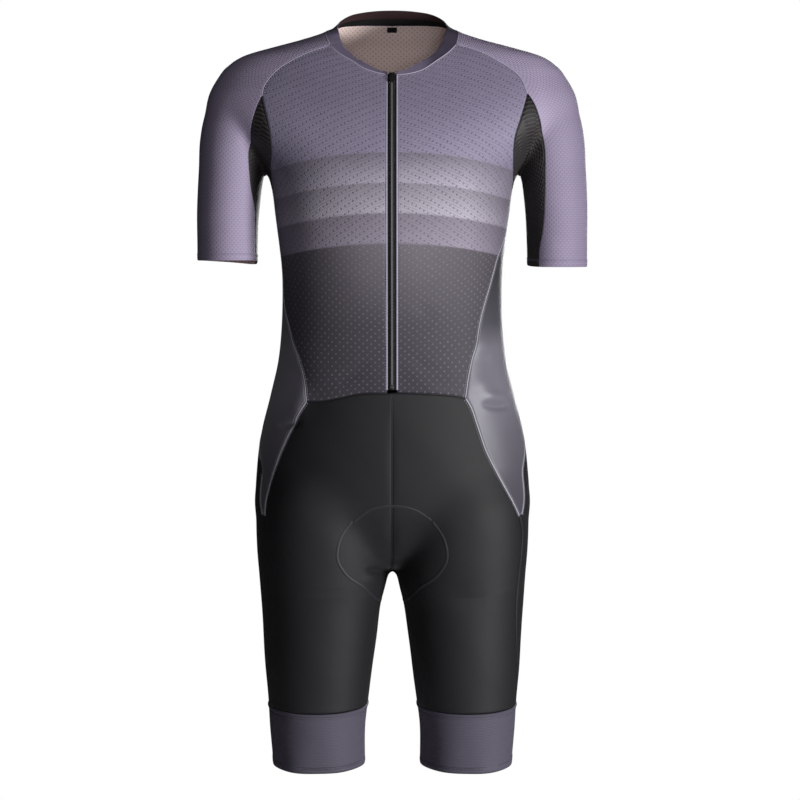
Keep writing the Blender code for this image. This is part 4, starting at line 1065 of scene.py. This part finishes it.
def build_zip():
    across = np.array([1.0, 0, 0])
    line, n, down = zip_line(ZIP_TOP, ZIP_BOTTOM, 0.002)
    for side in (1, -1):
        x = side * np.array([3.3, 4.2, 5.0, 5.85, 5.85, 5.0, 4.2, 3.3]) * MM
        y = np.array([0.15, 0.3, 0.3, 0.1, -0.75, -0.75, -0.75, -0.75]) * MM
        bar(side_name("zip_tape_weave", side), line, n, across, np.stack([x, y], 1), ZIP_TAPE, "zip_tape",
            [side_name("zip_tape", side)], 0.002)
        a = np.linspace(0, 2 * np.pi, 10, endpoint=False)
        x = side * 6.3 * MM + 0.85 * MM * np.cos(a)
        y = 0.1 * MM + 0.62 * MM * np.sin(a)
        bar(side_name("zip_binding", side), line, n, across, np.stack([x, y], 1),
            BINDING, "front_knit", [], 0.002)
    line, n, down = zip_line(CHAIN_TOP, ZIP_BOTTOM + 0.006, COIL_PITCH / 2)
    bar("coil_cord", *zip_line(CHAIN_TOP, ZIP_BOTTOM, 0.004)[:2], across,
        np.array([(-3.1, -1.7), (-2.9, 0.3), (-0.5, 0.75), (0.5, 0.75), (2.9, 0.3), (3.1, -1.7)]) * MM,
        COIL_CORD, "zip_coil", ["zip_coil"], 0.004)
    # Painted glint: a light grey line along the crest of the coil.
    bar("coil_line", *zip_line(CHAIN_TOP, ZIP_BOTTOM + 0.006, 0.004)[:2], across,
        np.array([(-0.45, 0.70), (-0.45, 0.98), (0.45, 0.98), (0.45, 0.70)]) * MM,
        COIL_GLINT, "zip_coil", [], 0.004)
    points, faces = lozenge(4, 8)
    centres, axes = [], []
    for side, first in ((1, 0), (-1, 1)):
        at = line[first::2]
        out, along_zip = n[first::2], down[first::2]
        centres.append(at + side * 1.85 * MM * across + 0.62 * MM * out)
        tilt = unit(across[None] + side * 0.16 * along_zip)
        axes.append(np.stack([tilt * 1.50 * MM, along_zip * 0.46 * MM, out * 0.62 * MM], 1))
    coil = scatter("coil_rungs", np.concatenate(centres), np.concatenate(axes), (points, faces), COIL)
    end, out, along_zip = (v[-1:] for v in zip_line(CHAIN_TOP, ZIP_BOTTOM + 0.0035, 0.001))
    box = np.array([(x, y, z) for x in (-1, 1) for y in (-1, 1) for z in (-1, 1)], float)
    box_faces = [[0, 1, 3, 2], [4, 6, 7, 5], [0, 4, 5, 1], [2, 3, 7, 6], [0, 2, 6, 4], [1, 5, 7, 3]]
    stop = scatter("bottom_stop", end + out * 0.9 * MM,
                   np.stack([across[None] * 2.6 * MM, along_zip * 1.7 * MM, out * 0.7 * MM], 1),
                   (box, box_faces), METAL)
    soften(stop, 0.0005)
    for node, name, body in (("zip_slider", "slider_body", "garment"), ("zip_pull", "pull_tab", "pull")):
        mesh = bpy.data.objects[node].data.copy()
        mesh.materials.clear()
        mesh.materials.append(METAL)
        obj = link(name, mesh)
        belong(obj, "black_metal", node, body=body)
        soften(obj, 0.00028)


def soften(obj, width):
    """Merges the mesh's doubled points and rounds its edges."""
    solid = bmesh.new()
    solid.from_mesh(obj.data)
    bmesh.ops.remove_doubles(solid, verts=solid.verts, dist=1e-6)
    bmesh.ops.dissolve_limit(solid, angle_limit=0.02, verts=solid.verts, edges=solid.edges)
    solid.to_mesh(obj.data)
    solid.free()
    bevel = obj.modifiers.new("edges", "BEVEL")
    bevel.width, bevel.segments, bevel.limit_method, bevel.angle_limit = width, 2, "ANGLE", 0.6
    bevel.use_clamp_overlap = True
    obj.data.shade_smooth()
    obj.data.set_sharp_from_angle(angle=0.9)


# Sewing
def build_sewing(lines):
    raglans, gussets, sides, hips, waists, dark = [], [], [], [], [], []
    for side, line in lines.items():
        raglans += [line["raglan_front"], line["raglan_back"]]
        gussets += [line[k] for k in ("gusset_chest", "gusset_back", "gusset_arm", "gusset_arm_back",
                                      "side_top")]
        sides += [line["side_front"], line["side_back"]]
        hips += [line["hip_front"], line["hip_back"]]
        waists += [line["waist_front"], line["waist_back"]]
        dark += [line["outseam"], line["inseam"]]
    dark += [lines[1]["centre_front"][:-4], lines[1]["centre_back"][:-4]]
    threads("raglan_thread", raglans, 0.0017, 0.0008, LILAC)
    threads("side_thread", sides, 0.0015, 0.0008, GREY_THREAD)
    threads("underarm_thread", gussets, 0.0013, 0.0007, DARK_THREAD)
    threads("hip_thread", hips, 0.0019, 0.0010, GREY_THREAD)
    threads("waist_thread", waists, 0.0012, 0.0007, DARK_THREAD)
    threads("shorts_thread", dark, 0.0013, 0.0007, BLACK_THREAD)
    collars = [lines[s][k] for s in (1, -1) for k in ("collar_front", "collar_side", "collar_back")]
    # The neck seam's thread is pale lilac and drawn wide; part of its paleness paints the highlight along the
    # collar's base.
    threads("collar_thread", collars, 0.0016, 0.0009, LILAC)
    outline = [seam("pad_edge", side, 200) for side in (1, -1)]
    outline += [seam(name, 1, 80) for name in ("pad_front", "pad_back")]
    # The pad's outline as a ridge on the shorts; its thread is lighter than the shorts, a painted highlight
    # along the ridge.
    threads("pad_ridge", outline, 0.0044, 0.0012, PAD_RIDGE_HIGHLIGHT, sink=0.3)

    rows = [beside(along(line[k], 0.002), s) for line in lines.values()
            for k in ("raglan_front", "raglan_back") for s in (0.0026, -0.0026)]
    stitches("raglan_stitches", rows, LILAC)
    rows = [beside(along(line[k], 0.002), s) for line in lines.values()
            for k in ("side_front", "side_back", "hip_front", "hip_back") for s in (0.0026, -0.0026)]
    stitches("side_stitches", rows, GREY_THREAD)
    rows = [raise_path(line[k], by) for line in lines.values()
            for k in ("sleeve_hem", "gusset_hem") for by in (0.0078, 0.0092)]
    stitches("hem_stitches", rows, HEM_THREAD, out=0.0004)
    rows = [raise_path(line[k], by) for line in lines.values()
            for k in ("band_hem_front", "band_hem_back") for by in (0.0062, 0.0084)]
    stitches("band_stitches", rows, BLACK_THREAD, out=0.0005)
    rows = [raise_path(line[k], -0.0070) for line in lines.values()
            for k in ("band_top_front", "band_top_back")]
    stitches("band_top_stitches", rows, DARK_THREAD)
    rows = [raise_path(line, -0.0028) for line in collars]
    stitches("collar_stitches", rows, LILAC)
    middle = front_line(np.linspace(ZIP_TOP, ZIP_BOTTOM, 200))
    rows = [settle(middle + (x, 0, 0)) for x in (-0.0078, 0.0078)]
    stitches("zip_stitches", rows, LILAC)


def raise_path(path, by):
    """The path moved up the form by so much, or down where it is negative."""
    n = normals_at(path)
    up = np.array([0, 0, 1.0]) - n * n[:, 2:]
    return settle(path + by * unit(up), 0.0, 4)


def front_finish():
    """Fine knit with four tonal steps across the chest, each darker at its top; dark dots, and pale ones
    below; painted shade down the torso's sides."""
    f = Finish("front_knit", 0.68, specular_ior_level=0.35)
    u, v = f.uv()
    x, _, z = f.place()
    w = (z + x * x * 0.85 + 0.45) / 0.5
    steps = [(-0.450, (50, 47, 54)), (-0.360, (70, 66, 73)), (-0.2592, (118, 112, 120)),
             (-0.2584, (156, 147, 163)),
             (-0.2221, (138, 130, 143)), (-0.2213, (186, 179, 193)), (-0.1857, (148, 141, 153)),
             (-0.1849, (180, 173, 190)), (-0.1480, (128, 121, 135)), (-0.1472, (152, 144, 168)),
             (-0.09, (143, 135, 159)), (0.05, (138, 130, 154))]
    colour = f.ramp(w, [((at + 0.45) / 0.5, tint(*c)) for at, c in steps])
    below = 1 - (w * 0.5 - 0.45).above(-0.2588, 0.0008)
    aside = x.size().above(0.060, 0.06) * below
    colour = f.mix(aside * 0.68, colour, tint(70, 66, 72))
    # Painted shade: the torso's sides below the chest are darkened, where the cloth turns away from the light
    # and lies in the arms' shadow.
    flank_shade = x.size().above(0.122, 0.06) * (1 - (w * 0.5 - 0.45).above(-0.150, 0.08))
    colour = f.mix(flank_shade * 0.85, colour, tint(142, 136, 145), "MULTIPLY")
    dots = lattice(u, v, 0.0100, 0.0088).above(0.74, 0.30)
    fade = f.noise(70).above(0.42, 0.5) + 0.35
    colour = f.mix(dots * (1 - below) * fade * 0.55, colour, tint(88, 80, 100))
    colour = f.mix(dots * below * fade * 0.22, colour, tint(170, 164, 174))
    dash = lattice(u, v, 0.0050, 0.0033)
    patchy = f.noise(120).above(0.45, 0.3) * 0.30 + 0.14
    colour = f.mix(dash.above(0.25, 0.9) * patchy, colour, tint(80, 74, 90))
    knit = lattice(u, v, 0.0016, 0.0014)
    colour = f.mix(knit.above(0.2, 0.8) * 0.16, colour, tint(88, 82, 98), "MULTIPLY")
    colour = f.mix(f.noise(38) * 0.10, colour, tint(70, 64, 78))
    f.colour(colour)
    f.bump(dots * (below * 1.6 - 1.0) + knit * 0.22, 0.0005, 0.6)
    return f.material


def back_finish():
    """Perforated knit: the same purple grey with staggered eyelets all over."""
    f = Finish("back_knit", 0.70, specular_ior_level=0.3)
    u, v = f.uv()
    w = (f.place()[2] + 0.45) / 0.5
    steps = [(-0.45, (108, 102, 112)), (-0.26, (118, 111, 123)), (-0.2592, (146, 138, 156)),
             (-0.09, (146, 138, 158)), (0.05, (138, 130, 152))]
    colour = f.ramp(w, [((at + 0.45) / 0.5, tint(*c)) for at, c in steps])
    dots = lattice(u, v, 0.0074, 0.0066).above(0.62, 0.36)
    colour = f.mix(dots * 0.62, colour, tint(70, 64, 80))
    knit = lattice(u, v, 0.0016, 0.0014)
    colour = f.mix(knit.above(0.2, 0.8) * 0.15, colour, tint(88, 82, 98), "MULTIPLY")
    colour = f.mix(f.noise(30) * 0.12, colour, tint(70, 64, 78))
    f.colour(colour)
    f.bump(dots * -1.0 + knit * 0.2, 0.0005, 0.6)
    return f.material


def sleeve_finish():
    """Knit with fine crosswise ribs and small staggered dots, and painted shade on the sleeves' outer sides.
    """
    f = Finish("sleeve_knit", 0.68, specular_ior_level=0.3)
    u, v = f.uv()
    rib = (v * (TURN / 0.0029)).sine()
    dots = lattice(u, v, 0.0058, 0.0058).above(0.55, 0.5)
    colour = f.mix(rib.above(0.0, 1.6) * 0.34, tint(172, 160, 186), tint(132, 121, 146))
    colour = f.mix(dots * 0.34, colour, tint(112, 101, 128))
    colour = f.mix(f.noise(26) * 0.14, colour, tint(96, 86, 110))
    # Painted shade: the sleeves' outer sides are darkened, where they turn away from the light.
    outer = f.place()[0].size().above(0.210, 0.05)
    colour = f.mix(outer * 0.50, colour, tint(150, 146, 156), "MULTIPLY")
    f.colour(colour)
    f.bump(rib * 0.5 - dots * 0.8 + lattice(u, v, 0.0014, 0.0014) * 0.2, 0.0004, 0.6)
    return f.material


def inside_finish(name, base, dot):
    """The inner face of the printed cloth: pale, with the eyelets showing through."""
    f = Finish(name, 0.85, specular_ior_level=0.2)
    u, v = f.uv()
    dots = lattice(u, v, 0.0074, 0.0066).above(0.62, 0.36)
    colour = f.mix(dots * 0.6, tint(*base), tint(*dot))
    colour = f.mix(f.noise(30) * 0.12, colour, tint(*dot))
    f.colour(colour)
    f.bump(dots * -1.0 + lattice(u, v, 0.0016, 0.0014) * 0.2, 0.0004, 0.5)
    return f.material


def mesh_finish():
    """Open mesh: a lattice of fine dark threads with holes 2.6 mm apart, painted near black as the shade seen
    through them, and warm grey patches painted as light coming through.
    """
    f = Finish("black_mesh", 0.60, specular_ior_level=0.4)
    u, v = f.uv()
    holes = lattice(u, v, 0.0052, 0.0046).above(0.0, 0.5)
    # Painted shade: the holes are painted near black for the shaded hollow seen through them.
    colour = f.mix(holes, tint(50, 46, 48), tint(12, 11, 12))
    # Painted light: warm grey patches for light coming through the mesh.
    colour = f.mix(f.noise(20) * 0.25, colour, tint(60, 52, 50))
    f.colour(colour)
    f.bump(holes * -1.0, 0.0007, 0.9)
    return f.material


def smooth_finish(name, base, roughness=0.55, weave=0.0013, rib=None, dark=None, sheen=0.0):
    """A smooth fine knit, with soft unevenness, and crosswise ribs where a pitch is given."""
    f = Finish(name, roughness, specular_ior_level=0.35, sheen_weight=sheen)
    u, v = f.uv()
    knit = lattice(u, v, weave, weave)
    shade = tuple(0.55 * c for c in tint(*base)[:3]) + (1.0,)
    colour = f.mix(knit.above(0.1, 1.2) * 0.30, tint(*base), shade)
    colour = f.mix(f.noise(24) * 0.25, colour, shade if dark is None else tint(*dark))
    height = knit * 0.3
    if rib:
        bars = (v * (TURN / rib)).sine()
        colour = f.mix(bars.above(0.0, 1.4) * 0.35, colour, shade)
        height = height + bars * 0.6
    f.colour(colour)
    f.bump(height, 0.0004, 0.5)
    return f.material


def side_finish():
    """Smooth grey knit with a sheen; its colour by height is painted light and shade, palest over the hip as
    a painted highlight and darkest under the arm as painted shade.
    """
    f = Finish("side_knit", 0.42, specular_ior_level=0.45, sheen_weight=0.1)
    u, v = f.uv()
    z = f.place()[2]
    # Painted light and shade by height: palest over the hip bulge, darkest below the armpit and darker
    # towards the tip.
    steps = [(-0.62, (62, 60, 68)), (-0.55, (78, 75, 84)), (-0.50, (94, 91, 101)), (-0.45, (116, 113, 124)),
             (-0.39, (112, 109, 119)), (-0.36, (70, 68, 75)), (-0.30, (44, 43, 47)), (-0.19, (38, 37, 40))]
    colour = f.ramp((z + 0.62) / 0.43, [((at + 0.62) / 0.43, tint(*c)) for at, c in steps])
    knit = lattice(u, v, 0.0013, 0.0013)
    colour = f.mix(knit.above(0.1, 1.2) * 0.20, colour, tint(70, 68, 78))
    f.colour(f.mix(f.noise(24) * 0.15, colour, tint(70, 68, 78)))
    f.bump(knit, 0.0001, 0.4)
    return f.material


def thread_finish(name, base, roughness=0.55):
    """Twisted thread: a fine uneven grain in its colour and its height."""
    f = Finish(name, roughness, specular_ior_level=0.4)
    strands = f.noise(900, 2.0)
    shade = tuple(0.5 * c for c in tint(*base)[:3]) + (1.0,)
    f.colour(f.mix(strands.above(0.5, 0.4) * 0.5, tint(*base), shade))
    f.bump(strands, 0.0002, 0.6)
    return f.material


def weave_finish(name, base, roughness=0.7, pitch=0.0011):
    """Woven tape: a small twill of slanting ribs."""
    f = Finish(name, roughness, specular_ior_level=0.3)
    u, v = f.uv()
    twill = ((u + v) * (TURN / pitch)).sine()
    shade = tuple(0.5 * c for c in tint(*base)[:3]) + (1.0,)
    f.colour(f.mix(twill.above(0.0, 1.0) * 0.5, tint(*base), shade))
    f.bump(twill, 0.0002, 0.6)
    return f.material


def pad_finish():
    """Moulded pad cover: soft brushed face with a fine grid of dimples."""
    f = Finish("pad_cover", 0.85, sheen_weight=0.2)
    u, v = f.uv()
    dimples = lattice(u, v, 0.0060, 0.0060).above(0.5, 0.5)
    colour = f.mix(dimples * 0.4, tint(72, 72, 80), tint(44, 44, 52))
    f.colour(f.mix(f.noise(40) * 0.2, colour, tint(50, 50, 58)))
    f.bump(dimples * -1.0 + f.noise(300) * 0.2, 0.0006, 0.6)
    return f.material


def coil_finish():
    f = Finish("zip_coil", 0.42, specular_ior_level=0.5)
    f.colour(f.mix(f.noise(260) * 0.5, tint(28, 28, 29), tint(18, 18, 19)))
    return f.material


def enamel_finish():
    """Black enamel over zinc, with small paler flecks."""
    f = Finish("black_metal", 0.32, coat_weight=0.5, coat_roughness=0.12)
    f.colour(f.mix(f.noise(420).above(0.62, 0.1) * 0.25, tint(26, 26, 28), tint(70, 70, 72)))
    f.bump(f.noise(700), 0.0001, 0.15)
    return f.material


FRONT, BACK, SLEEVE = front_finish(), back_finish(), sleeve_finish()
# The jersey's inner face is pale warm grey; its base colour is brightened close to white as painted light
# inside the neck opening.
INSIDE = inside_finish("jersey_inside", (255, 230, 224), (172, 146, 144))
MESH = mesh_finish()
SIDE = side_finish()
SHORTS = smooth_finish("shorts_knit", (23, 23, 26), 0.60, dark=(16, 16, 19))
SHORTS_INSIDE = smooth_finish("shorts_inside", (30, 29, 32), 0.8, dark=(20, 20, 22))
BAND = smooth_finish("band_knit", (88, 83, 98), 0.68, rib=0.0021, dark=(66, 60, 73))
BAND_INSIDE = smooth_finish("band_inside", (58, 54, 62), 0.8, rib=0.0021, dark=(40, 37, 43))
COLLAR = smooth_finish("collar_knit", (122, 112, 136), 0.68, dark=(96, 86, 108))
FACING = smooth_finish("maroon_facing", (56, 34, 37), 0.85, dark=(40, 24, 27))
TAPE = weave_finish("black_tape", (14, 13, 13))
LABEL = weave_finish("black_label", (26, 26, 28), 0.6, 0.0007)
PAD = pad_finish()
ZIP_TAPE = weave_finish("zip_tape", (22, 21, 25))
COIL = coil_finish()
COIL_CORD = smooth_finish("coil_cord", (36, 36, 37), 0.6)
# Light grey, a painted glint along the coil's crest.
COIL_GLINT = smooth_finish("coil_line", (150, 150, 153), 0.6)
METAL = enamel_finish()
BINDING = thread_finish("binding", (188, 180, 204))
LILAC = thread_finish("lilac_thread", (182, 174, 198))
GREY_THREAD = thread_finish("grey_thread", (172, 170, 180))
DARK_THREAD = thread_finish("dark_thread", (40, 38, 44))
BLACK_THREAD = thread_finish("black_thread", (18, 18, 20))
HEM_THREAD = thread_finish("hem_thread", (140, 130, 156))
# Lighter than the shorts: painted highlight on the pad's ridge.
PAD_RIDGE_HIGHLIGHT = smooth_finish("pad_ridge", (38, 38, 43), 0.5)


# Stage, camera and light
def area_light(name, at, aim, size, power, colour=(1.0, 1.0, 1.0)):
    light = bpy.data.lights.new(name, "AREA")
    light.shape, light.size, light.energy, light.color = "DISK", size, power, colour
    obj = link(name, light)
    obj.location = at
    obj.rotation_euler = (Vector(aim) - Vector(at)).to_track_quat("-Z", "Y").to_euler()


def build_stage():
    scene = bpy.context.scene
    world = bpy.data.worlds.new("studio")
    scene.world = world
    world.use_nodes = True
    tree = world.node_tree
    paper = tree.nodes["Background"]
    paper.inputs["Color"].default_value = (1, 1, 1, 1)
    dim = tree.nodes.new("ShaderNodeBackground")
    dim.inputs["Color"].default_value = (0.035, 0.035, 0.038, 1)
    path = tree.nodes.new("ShaderNodeLightPath")
    mix = tree.nodes.new("ShaderNodeMixShader")
    tree.links.new(path.outputs["Is Camera Ray"], mix.inputs[0])
    tree.links.new(dim.outputs[0], mix.inputs[1])
    tree.links.new(paper.outputs[0], mix.inputs[2])
    tree.links.new(mix.outputs[0], tree.nodes["World Output"].inputs[0])
    scene.view_settings.view_transform = "Standard"

    area_light("key", (1.90, -1.66, -0.62), (0.0, 0.0, -0.36), 0.8, 72)
    area_light("front_fill", (0.15, -2.7, -0.05), (0.0, 0.0, -0.25), 0.9, 15)
    area_light("back_light", (0.5, 2.4, 0.1), (0.0, 0.0, -0.4), 1.6, 52)

    turn = np.linspace(0, 2 * np.pi, 96, endpoint=False)
    disc = np.stack([np.cos(turn), np.sin(turn), np.zeros(96)], 1)
    mesh = make_mesh("floor", disc, [list(range(96))])
    paint = Finish("pale_floor", 0.9)
    paint.colour(paint.mix(paint.noise(3) * 0.04, tint(244, 244, 245), tint(236, 236, 238)))
    mesh.materials.append(paint.material)
    floor = link("floor", mesh)
    floor.location = (0, 0, FLOOR_Z)
    floor.visible_diffuse = False

    camera = bpy.data.cameras.new("camera")
    camera.lens, camera.sensor_width = 80, 36
    obj = link("camera", camera)
    obj.location = (0.010, -2.30, -0.266)
    look = Vector((0.010, 0.0, -0.4615)) - obj.location
    obj.rotation_euler = look.to_track_quat("-Z", "Y").to_euler()
    scene.camera = obj


build_stage()
LINES = {side: seam_lines(side) for side in (1, -1)}
build_collar(LINES)
build_jersey(LINES)
build_shorts(LINES)
build_pad()
build_zip()
build_sewing(LINES)
